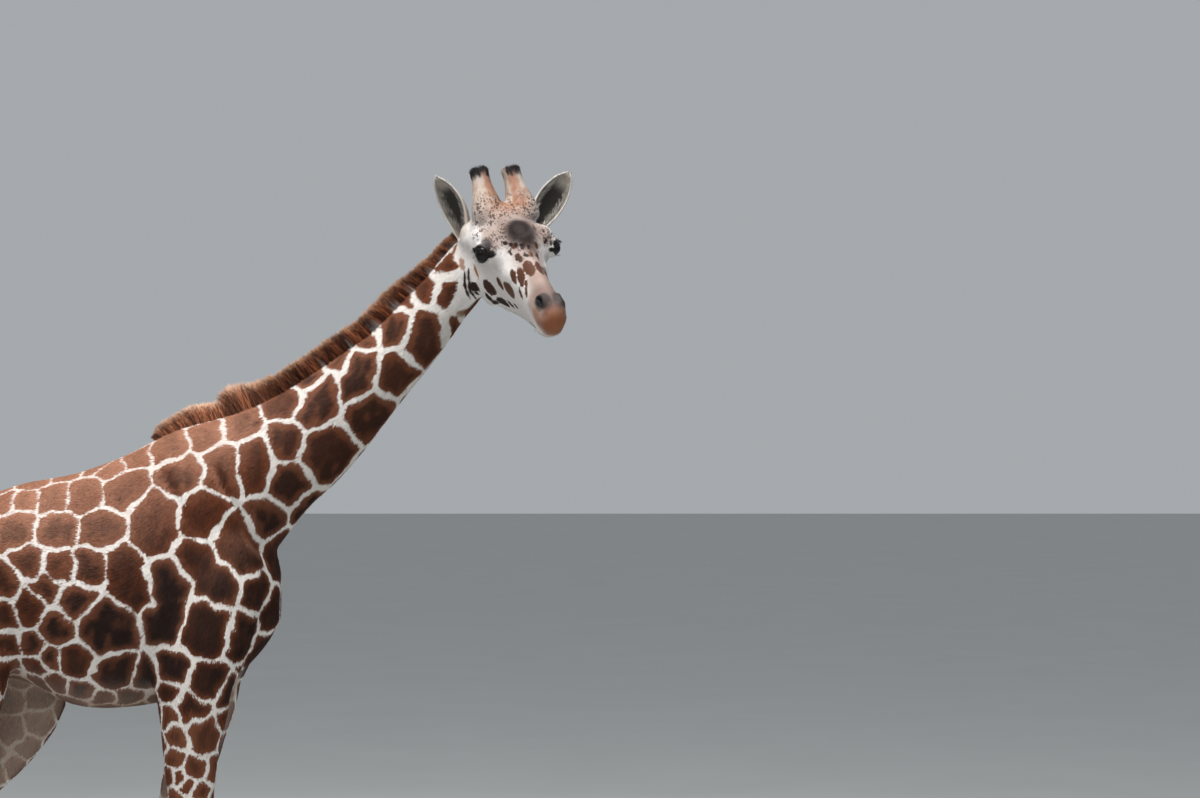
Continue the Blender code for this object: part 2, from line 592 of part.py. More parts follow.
def main():
    for obj in list(bpy.data.objects):
        bpy.data.objects.remove(obj)

    in_head = head_matrix()
    body = fused("body", [trunk_form(), neck_form(), *legs_form(), limb(TAIL, LEFT)], BODY_VOXEL, 14, BODY_TRIANGLES)
    head = fused("head", [placed(form, in_head) for form in skull_forms()], HEAD_VOXEL, 26, HEAD_TRIANGLES)
    whole, whole_head = copy_of(body, "whole", GAP), copy_of(head, "whole_head", GAP)

    solids = []
    horns, ears = {}, []
    for side, label in ((RIGHT, "right"), (LEFT, "left")):
        horn = cut(mesh_object("horn", [placed(horn_form(side), in_head)]), whole_head, "DIFFERENCE")
        horns[side] = copy_of(horn, "horn_grown", GAP)
        solids.append((horn, f"ossicone_{label}", "coat"))
        ear = cut(mesh_object("ear", [placed(ear_form(side), in_head)]), whole_head, "DIFFERENCE")
        main_body(cut(cut(ear, horns[side], "DIFFERENCE"), whole, "DIFFERENCE"))
        ears += [copy_of(ear, "ear_grown", GAP), ear]
        solids.append((ear, f"ear_{label}", "pale coat"))
        at = np.array(EYE_AT) * (1, side, 1)
        eye = mesh_object("eyeball", [placed(ball(at, (EYE_RADIUS,) * 3, 14), in_head)])
        solids.append((eye, f"eye_{label}", "eye"))
        face = Vector((0.50, 0.86 * side, -0.05)).normalized()
        dish = ball((0, 0, 0), EYE_DISH, 14)
        turn = Vector((0, 1, 0)).rotation_difference(face).to_matrix().to_4x4()
        dish = placed(dish, Matrix.Translation(Vector(at) + face * (EYE_RADIUS - 0.002)) @ turn)
        cut(head, mesh_object("dish", [placed(dish, in_head)]), "DIFFERENCE")
        cut(head, mesh_object("socket", [placed(ball(at, (EYE_RADIUS + GAP,) * 3, 14), in_head)]), "DIFFERENCE")

    mane = mesh_object("mane", [mane_form()])
    for cutter in (whole, whole_head, *ears):
        cut(mane, cutter, "DIFFERENCE")
    main_body(mane)
    solids.append((mane, "mane", "mane hair"))
    cut(body, whole_head, "DIFFERENCE")

    tail = carved(body, "tail", box((-1.4, -0.5, 1.2), (TAIL_CUT_X, 0.5, TAIL_CUT_Z)))
    solids.append((tail, "tail", "coat"))
    lower = {}
    for leg, (x, y, size) in FEET.items():
        side = math.copysign(1, y)
        top, joint = (FORE_TOP, FORE_KNEE) if leg.startswith("fore") else (HIND_TOP, HIND_HOCK)
        near, far = (-0.39, 0.5) if leg.startswith("fore") else (-1.4, -0.398)
        band = sorted((0.004 * side, side))
        upper = carved(body, f"{leg}_upper", box((near, band[0], -0.2), (far, band[1], top)))
        lower[leg] = carved(upper, f"{leg}_lower", box((near - 0.1, -1, -0.3), (far + 0.1, 1, joint)))
        cut(lower[leg], mesh_object("foot", [foot_slab(leg)]), "DIFFERENCE")
        solids.append((upper, f"{leg}_upper", "coat"))
        solids.append((lower[leg], f"{leg}_lower", "pale coat"))
        for toe, label in ((RIGHT, "a"), (LEFT, "b")):
            solids.append((mesh_object("toe", [toe_form(leg, toe)]), f"{leg}_hoof_{label}", "hoof horn"))

    tassel = cut(mesh_object("tassel", [limb(TASSEL, LEFT, steps=2, points=14)]), whole, "DIFFERENCE")
    solids.append((tassel, "tail_tassel", "dark hair"))
    neck = carved(body, "neck", slab(NECK_CUT_AT, NECK_CUT_WAY))
    solids += [(neck, "neck", "coat"), (body, "trunk", "coat"), (head, "head", "pale coat")]

    # The frame: x and y from the middle of the whole, z from the floor.
    kept = [solid for solid, _, _ in solids]
    points = np.concatenate([np.array([v.co for v in solid.data.vertices]) for solid in kept])
    low, high = points.min(axis=0), points.max(axis=0)
    shift = Vector((-(low[0] + high[0]) / 2, -(low[1] + high[1]) / 2, 0.0))
    for obj in list(bpy.data.objects):
        if obj not in kept:
            bpy.data.objects.remove(obj)
    group = bpy.data.collections.new("giraffe")
    bpy.context.scene.collection.children.link(group)
    for solid, name, material in solids:
        dressed(solid, name, material, group, shift)
    print("shift", tuple(shift), "size", tuple(high - low))


if __name__ == "__main__":
    main()
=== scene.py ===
"""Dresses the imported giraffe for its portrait: one skin over the body with its markings, the coat's tufts, mane,
tassel, eyes, lashes and hooves, on a plain pale floor under soft studio light.

Lengths are in metres. The body's own frame is the one that its tables are written in: +X is the way the body faces,
+Y is the animal's left, +Z is up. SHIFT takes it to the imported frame.
"""

import math

import bmesh
import bpy
import numpy as np
from mathutils import Matrix, Vector
from mathutils.bvhtree import BVHTree


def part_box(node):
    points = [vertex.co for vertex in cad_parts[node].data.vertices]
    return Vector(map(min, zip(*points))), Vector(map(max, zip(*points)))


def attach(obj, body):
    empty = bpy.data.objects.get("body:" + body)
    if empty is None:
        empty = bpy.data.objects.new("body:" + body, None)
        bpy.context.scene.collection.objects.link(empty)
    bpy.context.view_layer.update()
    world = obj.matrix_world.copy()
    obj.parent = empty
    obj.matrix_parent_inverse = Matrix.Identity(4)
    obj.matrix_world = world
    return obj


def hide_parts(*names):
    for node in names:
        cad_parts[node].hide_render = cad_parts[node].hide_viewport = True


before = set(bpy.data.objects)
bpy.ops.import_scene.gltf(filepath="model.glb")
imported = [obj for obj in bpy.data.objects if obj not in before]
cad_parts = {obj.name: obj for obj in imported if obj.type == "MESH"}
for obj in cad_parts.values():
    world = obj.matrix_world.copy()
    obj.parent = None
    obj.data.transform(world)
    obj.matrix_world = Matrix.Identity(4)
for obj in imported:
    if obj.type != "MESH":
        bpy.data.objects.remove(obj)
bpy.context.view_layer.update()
LEFT, RIGHT = 1, -1

RING_POINTS = 48
# Trunk stations: x, top z, level of the widest point, bottom z, half width, ridge on top, keel below.
TRUNK = (
    (-0.965, 1.84, 1.74, 1.64, 0.045, 0.0, 0.0),
    (-0.955, 1.92, 1.75, 1.54, 0.115, 0.0, 0.0),
    (-0.880, 1.98, 1.77, 1.49, 0.175, 0.1, 0.1),
    (-0.780, 2.025, 1.78, 1.47, 0.210, 0.2, 0.1),
    (-0.660, 2.055, 1.78, 1.47, 0.228, 0.2, 0.1),
    (-0.540, 2.095, 1.76, 1.46, 0.240, 0.2, 0.1),
    (-0.400, 2.120, 1.72, 1.39, 0.256, 0.2, 0.0),
    (-0.300, 2.151, 1.71, 1.372, 0.258, 0.25, 0.0),
    (-0.200, 2.192, 1.72, 1.376, 0.250, 0.3, 0.0),
    (-0.100, 2.245, 1.75, 1.390, 0.232, 0.35, 0.1),
    (0.000, 2.285, 1.78, 1.410, 0.212, 0.4, 0.2),
    (0.100, 2.270, 1.78, 1.450, 0.190, 0.3, 0.2),
    (0.180, 2.160, 1.76, 1.510, 0.158, 0.2, 0.2),
    (0.240, 1.990, 1.74, 1.580, 0.118, 0.1, 0.1),
    (0.280, 1.820, 1.72, 1.650, 0.060, 0.0, 0.0),
)

# Neck stations: crest x and z, throat x and z, y of the middle, half width, ridge, keel.
NECK = (
    (-0.120, 2.235, 0.160, 1.740, 0.000, 0.185, 0.3, 0.0),
    (0.010, 2.285, 0.268, 1.880, 0.000, 0.165, 0.35, 0.0),
    (0.122, 2.317, 0.372, 2.013, 0.000, 0.132, 0.4, 0.0),
    (0.237, 2.365, 0.462, 2.096, 0.000, 0.108, 0.4, 0.0),
    (0.352, 2.433, 0.561, 2.209, -0.003, 0.092, 0.4, 0.0),
    (0.461, 2.506, 0.645, 2.320, -0.008, 0.083, 0.4, 0.0),
    (0.560, 2.573, 0.715, 2.408, -0.016, 0.076, 0.35, 0.0),
    (0.662, 2.674, 0.790, 2.500, -0.028, 0.070, 0.35, 0.0),
    (0.760, 2.775, 0.862, 2.600, -0.045, 0.066, 0.3, 0.0),
    (0.840, 2.862, 0.930, 2.690, -0.062, 0.062, 0.3, 0.0),
    (0.905, 2.915, 0.975, 2.770, -0.078, 0.056, 0.2, 0.0),
    (0.955, 2.920, 0.990, 2.800, -0.064, 0.044, 0.1, 0.0),
)

# Foreleg stations on the right leg: x, z, y from the middle, half depth, half width.
FORELEG = (
    (0.070, 1.960, 0.118, 0.105, 0.050),
    (0.105, 1.800, 0.142, 0.135, 0.070),
    (0.065, 1.620, 0.150, 0.142, 0.082),
    (0.022, 1.480, 0.152, 0.128, 0.080),
    (0.018, 1.370, 0.150, 0.112, 0.073),
    (0.012, 1.290, 0.147, 0.098, 0.066),
    (0.010, 1.236, 0.146, 0.090, 0.062),
    (0.010, 1.090, 0.143, 0.075, 0.054),
    (0.012, 0.950, 0.141, 0.061, 0.048),
    (0.018, 0.865, 0.140, 0.055, 0.048),
    (0.026, 0.800, 0.140, 0.058, 0.051),
    (0.020, 0.740, 0.140, 0.050, 0.047),
    (0.012, 0.660, 0.140, 0.039, 0.037),
    (0.010, 0.450, 0.140, 0.034, 0.031),
    (0.010, 0.270, 0.140, 0.037, 0.034),
    (0.005, 0.190, 0.140, 0.047, 0.041),
    (0.018, 0.145, 0.140, 0.042, 0.040),
    (0.036, 0.085, 0.140, 0.052, 0.050),
    (0.046, 0.030, 0.140, 0.056, 0.054),
)
# Hind leg stations on the right leg: x, z, y from the middle, half depth, half width.
HINDLEG = (
    (-0.790, 1.930, 0.110, 0.160, 0.075),
    (-0.755, 1.800, 0.128, 0.190, 0.092),
    (-0.735, 1.660, 0.140, 0.190, 0.102),
    (-0.720, 1.510, 0.148, 0.165, 0.096),
    (-0.725, 1.380, 0.152, 0.132, 0.084),
    (-0.775, 1.250, 0.150, 0.106, 0.070),
    (-0.860, 1.120, 0.145, 0.080, 0.056),
    (-0.945, 1.010, 0.140, 0.062, 0.045),
    (-1.010, 0.915, 0.137, 0.064, 0.044),
    (-1.030, 0.820, 0.135, 0.050, 0.040),
    (-1.028, 0.720, 0.134, 0.038, 0.033),
    (-1.018, 0.450, 0.133, 0.034, 0.030),
    (-1.010, 0.270, 0.132, 0.037, 0.032),
    (-1.012, 0.190, 0.132, 0.045, 0.039),
    (-0.998, 0.145, 0.132, 0.040, 0.038),
    (-0.980, 0.085, 0.132, 0.048, 0.047),
    (-0.970, 0.030, 0.132, 0.052, 0.051),
)
# How far each left leg stands from where its right one does: height, shift in x.
LEFT_FORE_SHIFT = (
    (1.60, 0.0), (1.39, -0.005), (1.24, -0.020), (1.08, -0.065), (0.80, -0.130), (0.17, -0.215), (0.0, -0.215),
)
LEFT_HIND_SHIFT = (
    (1.95, 0.0), (1.66, 0.075), (1.38, 0.165), (1.12, 0.135), (0.90, 0.100), (0.17, 0.120), (0.0, 0.120),
)

# Tail stations: x, z, y, half depth, half width.
TAIL = (
    (-0.930, 1.930, 0.000, 0.045, 0.050),
    (-0.985, 1.880, 0.000, 0.036, 0.038),
    (-1.030, 1.780, 0.004, 0.028, 0.028),
    (-1.050, 1.620, 0.010, 0.020, 0.021),
    (-1.056, 1.420, 0.016, 0.016, 0.017),
    (-1.056, 1.300, 0.019, 0.014, 0.015),
)
# The tassel at the end of the tail, out to the tips of its hair: x, z, y, half width.
TASSEL = (
    (-1.056, 1.325, 0.019, 0.013),
    (-1.056, 1.295, 0.019, 0.019),
    (-1.058, 1.200, 0.020, 0.030),
    (-1.062, 1.040, 0.022, 0.036),
    (-1.064, 0.900, 0.024, 0.026),
    (-1.064, 0.800, 0.024, 0.008),
)

# The head has a frame of its own: x from the poll to the lips, y to its left, z towards the horns.
HEAD_AT = (0.984, -0.085, 2.853)
HEAD_YAW, HEAD_PITCH, HEAD_ROLL = math.radians(-70.5), math.radians(21), math.radians(6)
# Head stations: x, top z, widest z, bottom z, half width, ridge, keel.
HEAD = (
    (-0.060, 0.015, -0.030, -0.085, 0.035, 0.0, 0.0),
    (-0.035, 0.075, -0.020, -0.130, 0.062, 0.0, 0.2),
    (0.005, 0.128, 0.000, -0.170, 0.082, 0.0, 0.4),
    (0.060, 0.150, 0.010, -0.192, 0.092, 0.0, 0.45),
    (0.115, 0.150, 0.015, -0.188, 0.098, 0.05, 0.5),
    (0.170, 0.140, 0.020, -0.176, 0.096, 0.1, 0.5),
    (0.230, 0.118, 0.012, -0.164, 0.080, 0.15, 0.5),
    (0.300, 0.085, 0.000, -0.153, 0.062, 0.25, 0.4),
    (0.370, 0.060, -0.018, -0.144, 0.051, 0.3, 0.3),
    (0.440, 0.045, -0.028, -0.135, 0.046, 0.25, 0.2),
    (0.500, 0.034, -0.038, -0.126, 0.045, 0.2, 0.15),
    (0.542, 0.020, -0.046, -0.118, 0.046, 0.1, 0.1),
    (0.572, -0.002, -0.052, -0.106, 0.040, 0.0, 0.1),
    (0.590, -0.028, -0.058, -0.086, 0.026, 0.0, 0.0),
)
# Round masses on the head: centre x, y, z and half sizes. The ones with a y stand on both sides.
HEAD_MASSES = (
    (0.158, 0.088, 0.047, 0.078, 0.053, 0.050),  # orbit
    (0.145, 0.088, 0.068, 0.074, 0.044, 0.036),  # brow
    (0.070, 0.070, 0.034, 0.100, 0.052, 0.058),  # temple
    (0.230, 0.048, -0.004, 0.100, 0.030, 0.050),  # cheek ridge
    (0.085, 0.052, -0.070, 0.110, 0.042, 0.100),  # cheek
    (-0.012, 0.052, -0.078, 0.062, 0.050, 0.080),  # corner of the jaw
    (-0.012, 0.080, 0.026, 0.054, 0.050, 0.060),  # root of the ear
    (0.535, 0.026, -0.006, 0.044, 0.019, 0.026),  # nostril
    (0.560, 0.000, -0.046, 0.041, 0.047, 0.046),  # upper lip
    (0.508, 0.000, -0.100, 0.054, 0.034, 0.026),  # chin
    (0.205, 0.000, 0.112, 0.078, 0.046, 0.034),  # middle lump
)
# The skin bunched between jaw and neck on the side that the head turns to.
THROAT_FOLD = (-0.030, -0.072, -0.070, 0.055, 0.042, 0.080)
# Horn stations: distance up the horn, half depth, half width.
HORN_FEET = {RIGHT: (0.050, -0.045, 0.085), LEFT: (0.050, 0.068, 0.085)}
HORN_TIPS = {RIGHT: (-0.050, -0.060, 0.248), LEFT: (-0.050, 0.044, 0.242)}
HORN = (
    (0.00, 0.066, 0.046),
    (0.22, 0.060, 0.050),
    (0.45, 0.042, 0.040),
    (0.66, 0.030, 0.030),
    (0.82, 0.0275, 0.0275),
    (0.92, 0.0265, 0.0265),
    (0.972, 0.012, 0.012),
)
EYE_AT, EYE_RADIUS = (0.193, 0.108, 0.045), 0.030
EAR_ROOTS = {RIGHT: (-0.024, -0.104, 0.010), LEFT: (-0.024, 0.104, 0.008)}
EAR_TIPS = {RIGHT: (-0.085, -0.184, 0.208), LEFT: (-0.085, 0.253, 0.187)}
EAR_FACES = {RIGHT: (0.60, -0.80, 0.0), LEFT: (1.0, -0.30, 0.0)}
EAR_THICKNESS, EAR_CURL = 0.006, 0.012
EAR_LINING = 0.82  # where the hair inside an ear is rooted, as a share of the cup
# Ear stations: distance up the ear, half width, depth of the cup, half angle of the cup in degrees.
EAR = (
    (0.00, 0.024, 0.026, 126),
    (0.12, 0.028, 0.028, 124),
    (0.28, 0.038, 0.030, 114),
    (0.45, 0.047, 0.028, 104),
    (0.62, 0.048, 0.023, 96),
    (0.78, 0.041, 0.017, 92),
    (0.91, 0.028, 0.011, 90),
    (1.00, 0.011, 0.007, 90),
)
# Mane stations: how far along the crest of the neck, height of its hair, half width at the skin.
MANE = (
    (0.00, 0.012, 0.016),
    (0.10, 0.046, 0.024),
    (0.25, 0.060, 0.028),
    (0.50, 0.068, 0.028),
    (0.75, 0.063, 0.026),
    (0.92, 0.052, 0.024),
    (1.00, 0.024, 0.018),
)
# Where the mane is taller than that over the withers: x, by how much.
MANE_TUFTS = (
    (-0.14, -0.004), (-0.115, 0.008), (-0.08, 0.032), (-0.01, 0.030), (0.100, 0.009),
    (0.116, 0.012), (0.130, 0.034), (0.180, 0.032), (0.215, 0.013), (0.300, 0.0),
)
MANE_BEND = 0.80  # how far up its hair bends
HEEL_HEIGHT, TOE_HEIGHT = 0.058, 0.104
CORONET = (-0.052, 0.042)  # where the top of a hoof starts and ends, from the axis of its leg
FEET = {
    "foreleg_right": (0.046, -0.140, 1.00),
    "foreleg_left": (-0.169, 0.140, 1.00),
    "hindleg_right": (-0.971, -0.132, 0.94),
    "hindleg_left": (-0.851, 0.132, 0.94),
}


def refined(rows, count):
    """The rows joined by a smooth curve through them, read at count even steps."""
    table = np.array(rows, float)
    knots = np.arange(len(table))
    slopes = np.gradient(table, axis=0)
    at = np.linspace(0, len(table) - 1, count)
    i = np.minimum(at.astype(int), len(table) - 2)
    t = (at - knots[i])[:, None]
    return (
        (2 * t**3 - 3 * t**2 + 1) * table[i]
        + (t**3 - 2 * t**2 + t) * slopes[i]
        + (3 * t**2 - 2 * t**3) * table[i + 1]
        + (t**3 - t**2) * slopes[i + 1]
    )


def section(centre, side, up, half_width, above, below, ridge=0.0, keel=0.0, points=RING_POINTS):
    """One ring round a body: an oval that reaches above and below its centre, pinched at its top and bottom."""
    turn = np.linspace(0, 2 * math.pi, points, endpoint=False)
    rise = np.sin(turn)
    pinch = 1 - np.where(rise > 0, ridge, keel) * rise**2
    out = np.cos(turn) * half_width * pinch
    height = rise * np.where(rise > 0, above, below)
    return np.array(centre) + np.outer(out, side) + np.outer(height, up)


def loft(rings):
    """A closed mesh through the rings, as (points, faces)."""
    count = len(rings[0])
    points = np.concatenate(rings)
    faces = []
    for ring in range(len(rings) - 1):
        for k in range(count):
            a, b = ring * count + k, ring * count + (k + 1) % count
            faces.append((a, b, b + count, a + count))
    last = (len(rings) - 1) * count
    faces.append(tuple(range(count))[::-1])
    faces.append(tuple(last + k for k in range(count)))
    return points, faces


def limb(rows, y_sign, shift=((2.5, 0.0), (0.0, 0.0))):
    """A loft along rows of x, z, y, half depth and half width, with each ring square to the limb."""
    path = refined(rows, 3 * (len(rows) - 1) + 1)
    heights, moves = np.array(shift, float)[::-1].T
    path[:, 0] += np.interp(path[:, 1], heights, moves)
    centres = np.stack([path[:, 0], y_sign * path[:, 2], path[:, 1]], axis=1)
    along = np.gradient(centres, axis=0)
    along /= np.linalg.norm(along, axis=1)[:, None]
    side = np.array((0.0, 1.0, 0.0))
    rings = []
    for centre, way, row in zip(centres, along, path):
        front = np.cross(side, way)
        front /= np.linalg.norm(front)
        rings.append(section(centre, side, front, row[4], row[3], row[3]))
    return loft(rings)


def ball(centre, sizes, points=36):
    """An ellipsoid as (points, faces)."""
    around = np.linspace(0, 2 * math.pi, points, endpoint=False)
    rings = []
    for k in range(1, points // 2):
        turn = math.pi * k / (points // 2)
        flat = math.sin(turn)
        ring = np.stack([np.full(points, math.cos(turn)), flat * np.cos(around), flat * np.sin(around)], axis=1)
        rings.append(np.array(centre) + ring * sizes)
    return loft(rings)


def moved(points, matrix):
    """Points taken by a matrix."""
    m = np.array(matrix)
    return np.asarray(points) @ m[:3, :3].T + m[:3, 3]


def turned(ways, matrix):
    """Ways turned by a matrix, without its shift."""
    return np.asarray(ways) @ np.array(matrix)[:3, :3].T


def unit(v):
    """Vectors of length one with the ways of the given ones."""
    v = np.asarray(v, float)
    return v / np.maximum(np.linalg.norm(v, axis=-1, keepdims=True), 1e-9)


def smooth(low, high, x):
    """From 0 at the low value to 1 at the high one, with soft ends."""
    t = np.clip((x - low) / (high - low), 0, 1)
    return t * t * (3 - 2 * t)


def blended(base, colour, share):
    """Colours, or ways, moved towards another one by a share for each point."""
    return base + (np.asarray(colour) - base) * np.asarray(share)[:, None]


def scattered(values, factor):
    """A fixed number from 0 to 1 for each value, with no order in them."""
    spread = np.sin(values * factor) * 43758.5453
    return spread - np.floor(spread)


def turn_share(a, b):
    """A turn about an axis, as a share of the whole turn."""
    return np.arctan2(a, b) / (2 * math.pi) + 0.5


def flipped(place, side):
    """A place or a way on the head's left, or its mirror image on the right."""
    return np.array(place) * (1, side, 1)


# ---------------------------------------------------------------- the shape of the body
def stations_form(table):
    """A loft along rows of x, top z, widest z, bottom z, half width, ridge, keel."""
    rings = []
    for x, top, wide, bottom, half, ridge, keel in refined(table, 3 * len(table)):
        rings.append(section((x, 0, wide), (0, 1, 0), (0, 0, 1), half, top - wide, wide - bottom, ridge, keel))
    return loft(rings)


def neck_form(first=0):
    """A loft along the neck's stations, from one of its rings upwards."""
    rings = []
    for cx, cz, tx, tz, y, half, ridge, keel in refined(NECK, 3 * len(NECK))[first:]:
        crest, throat = np.array((cx, y, cz)), np.array((tx, y, tz))
        reach = np.linalg.norm(crest - throat) / 2
        up = (crest - throat) / (2 * reach)
        rings.append(section((crest + throat) / 2, (0, 1, 0), up, half, reach, reach, ridge, keel))
    return loft(rings)


def legs_form():
    """The four legs."""
    return [
        limb(FORELEG, RIGHT),
        limb(FORELEG, LEFT, LEFT_FORE_SHIFT),
        limb(HINDLEG, RIGHT),
        limb(HINDLEG, LEFT, LEFT_HIND_SHIFT),
    ]


def head_matrix():
    """The head's place and turn in the body's frame."""
    pitch, roll = Matrix.Rotation(HEAD_PITCH, 4, "Y"), Matrix.Rotation(HEAD_ROLL, 4, "X")
    return Matrix.Translation(HEAD_AT) @ (Matrix.Rotation(HEAD_YAW, 4, "Z") @ pitch @ roll)


HEAD_TO_BODY = head_matrix()
BODY_TO_HEAD = HEAD_TO_BODY.inverted()
EYE_LOW, EYE_HIGH = (np.array(corner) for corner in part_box("eye_right"))
SHIFT = (EYE_LOW + EYE_HIGH) / 2 - np.array(HEAD_TO_BODY @ Vector(flipped(EYE_AT, RIGHT)))
HEAD_TURN = tuple(HEAD_TO_BODY.to_euler())
HEAD_PLACE = tuple(np.array(HEAD_TO_BODY.translation) + SHIFT)


def in_body(form):
    """A form of the head's frame in the body's."""
    return moved(form[0], HEAD_TO_BODY), form[1]


def skull_forms():
    """The head's forms in its own frame."""
    forms = [stations_form(HEAD)]
    for x, y, z, *sizes in HEAD_MASSES:
        for side in (LEFT, RIGHT) if y else (LEFT,):  # one in the middle, or one on each side
            forms.append(ball((x, side * y, z), sizes))
    forms.append(ball(THROAT_FOLD[:3], THROAT_FOLD[3:]))
    return forms


def horn_axes(side):
    """A horn's foot and tip, and its ways: up it, across it and ahead."""
    foot, tip = np.array(HORN_FEET[side]), np.array(HORN_TIPS[side])
    way = unit(tip - foot)
    across = unit(np.cross(way, (1.0, 0.0, 0.0)))
    return foot, tip, way, across, np.cross(across, way)


def horn_form(side, swell=0.004):
    """A horn in the head's frame. It is swollen by what the smoothing takes off it."""
    foot, tip, way, across, ahead = horn_axes(side)
    rings = []
    for at, depth, width in refined(HORN, 22):
        reach = at + (swell / np.linalg.norm(tip - foot) if at > 0.9 else 0)
        centre, depth = foot + reach * (tip - foot), depth + swell
        rings.append(section(centre, across, ahead, width + swell, depth, depth, points=32))
    return loft(rings)


def about_horn(points, side):
    """How far up a horn points are, in metres and as a share of its length, and how far and which way off its axis."""
    foot, tip, way, across, ahead = horn_axes(side)
    q = points - foot
    along = q @ way
    away = q - along[:, None] * way
    return along, along / np.linalg.norm(tip - foot), np.linalg.norm(away, axis=1), away


def ear_axes(side):
    """An ear's root and tip, and its ways: up it, across it and out of its cup."""
    foot, tip = np.array(EAR_ROOTS[side]), np.array(EAR_TIPS[side])
    way = unit(tip - foot)
    across = unit(np.cross(way, EAR_FACES[side]))
    return foot, tip, way, across, np.cross(across, way)


def ear_form(side, rings_up=34, arc=15):
    """A cupped ear in the head's frame: each ring runs round the back of the cup and returns inside it."""
    foot, tip, way, across, opens = ear_axes(side)
    rings = []
    for at, half, depth, angle in refined(EAR, rings_up):
        turn = np.radians(np.linspace(-angle, angle, arc))
        thick = EAR_THICKNESS * (1 - 0.35 * at)
        inner_half, inner_depth = half - min(thick, half * 0.45), depth - min(thick, depth * 0.45)
        back = np.stack([half * np.sin(turn), -depth * np.cos(turn)], axis=1)
        inside = np.stack([inner_half * np.sin(turn), -inner_depth * np.cos(turn)], axis=1)[::-1]
        ring = np.concatenate([back, inside])
        centre = foot + at * (tip - foot) - opens * (EAR_CURL * math.sin(math.pi * at))
        rings.append(centre + np.outer(ring[:, 0], across) + np.outer(ring[:, 1], opens))
    last = rings[-1]
    middle = last.mean(axis=0)
    for beyond, size in ((0.004, 0.66), (0.0065, 0.30)):  # the tip is round
        rings.append(middle + (last - middle) * size + way * beyond)
    return loft(rings)


def on_ear(points, side, above):
    """Which points of the head lie on an ear, higher up it than that."""
    foot, tip, way, across, opens = ear_axes(side)
    q = points - foot
    near = (q @ way > above) & (np.abs(q @ across) < 0.062) & (np.abs(q @ opens) < 0.05)
    return near & (points[:, 1] * side > 0.05)


# ---------------------------------------------------------------- mesh tools
def linked(name, mesh):
    """A new object in the scene that shows a mesh."""
    obj = bpy.data.objects.new(name, mesh)
    bpy.context.scene.collection.objects.link(obj)
    return obj


def object_from(name, points, faces):
    """A new object from points and faces."""
    mesh = bpy.data.meshes.new(name)
    mesh.from_pydata([tuple(p) for p in points], [], faces)
    mesh.update()
    return linked(name, mesh)


def finished(name, bm):
    """A new object from a BMesh, with all normals outwards."""
    bmesh.ops.recalc_face_normals(bm, faces=bm.faces)
    mesh = bpy.data.meshes.new(name)
    bm.to_mesh(mesh)
    bm.free()
    return linked(name, mesh)


def mesh_object(name, forms):
    """One mesh object that holds every form, still as separate shells."""
    bm = bmesh.new()
    for points, faces in forms:
        verts = [bm.verts.new(p) for p in points]
        for face in faces:
            bm.faces.new([verts[k] for k in face])
    return finished(name, bm)


def edited(obj, edit):
    """Changes an object's mesh by a function that is given it as a BMesh."""
    bm = bmesh.new()
    bm.from_mesh(obj.data)
    edit(bm)
    bm.to_mesh(obj.data)
    bm.free()


def welded(obj):
    """Joins the points of a mesh that lie on one another."""
    edited(obj, lambda bm: bmesh.ops.remove_doubles(bm, verts=bm.verts, dist=1e-6))


def dressed(obj, material):
    """Gives an object one material in the place of any it has."""
    obj.data.materials.clear()
    obj.data.materials.append(material)


def shown_round(obj):
    """Shades an object's faces as one round surface."""
    for polygon in obj.data.polygons:
        polygon.use_smooth = True


def settled(obj, *stack):
    """Adds the modifiers to an object, puts the mesh they give in the place of its own and drops them."""
    for kind, settings in stack:
        modifier = obj.modifiers.new(kind.lower(), kind)
        for key, value in settings.items():
            setattr(modifier, key, value)
    bpy.context.view_layer.update()
    evaluated = obj.evaluated_get(bpy.context.evaluated_depsgraph_get())
    mesh = bpy.data.meshes.new_from_object(evaluated)
    obj.modifiers.clear()
    obj.data = mesh
    return obj


def points_of(obj):
    """An object's points, in its own frame."""
    out = np.empty(len(obj.data.vertices) * 3, np.float32)
    obj.data.vertices.foreach_get("co", out)
    return out.reshape(-1, 3).astype(float)


def normals_of(obj):
    """The normals at an object's points."""
    out = np.empty(len(obj.data.vertices) * 3, np.float32)
    obj.data.vertex_normals.foreach_get("vector", out)
    return out.reshape(-1, 3).astype(float)


def put_points(obj, points):
    """Moves an object's points to new places."""
    obj.data.vertices.foreach_set("co", np.asarray(points, np.float32).ravel())
    obj.data.update()


def soften(obj, weights, rounds):
    """Smooths the mesh where the weights say."""
    group = obj.vertex_groups.new(name="soft")
    for level in range(1, 11):
        chosen = np.nonzero((weights * 10).round().astype(int) == level)[0]
        if len(chosen):
            group.add(chosen.tolist(), level / 10, "REPLACE")
    settled(obj, ("SMOOTH", {"factor": 0.5, "iterations": rounds, "vertex_group": "soft"}))
    obj.vertex_groups.clear()


def means(owners, places, count):
    """The middle of the places of each owner."""
    sums = np.stack([np.bincount(owners, places[:, k], count) for k in range(3)], 1)
    return sums / np.maximum(np.bincount(owners, minlength=count), 1)[:, None]


def filled(obj, rounds):
    """Draws the skin tight over its hollows: only points that lie in one move, and only outwards."""
    points = points_of(obj)
    pairs = np.empty(len(obj.data.edges) * 2, np.int32)
    obj.data.edges.foreach_get("vertices", pairs)
    pairs = pairs.reshape(-1, 2)
    ends, others = np.concatenate([pairs, pairs[:, ::-1]]).T
    for step in range(rounds):
        if step % 12 == 0:
            put_points(obj, points)
            normals = normals_of(obj)
        middle = means(ends, points[others], len(points))
        points = points + normals * np.maximum(((middle - points) * normals).sum(1), 0)[:, None]
    put_points(obj, points)


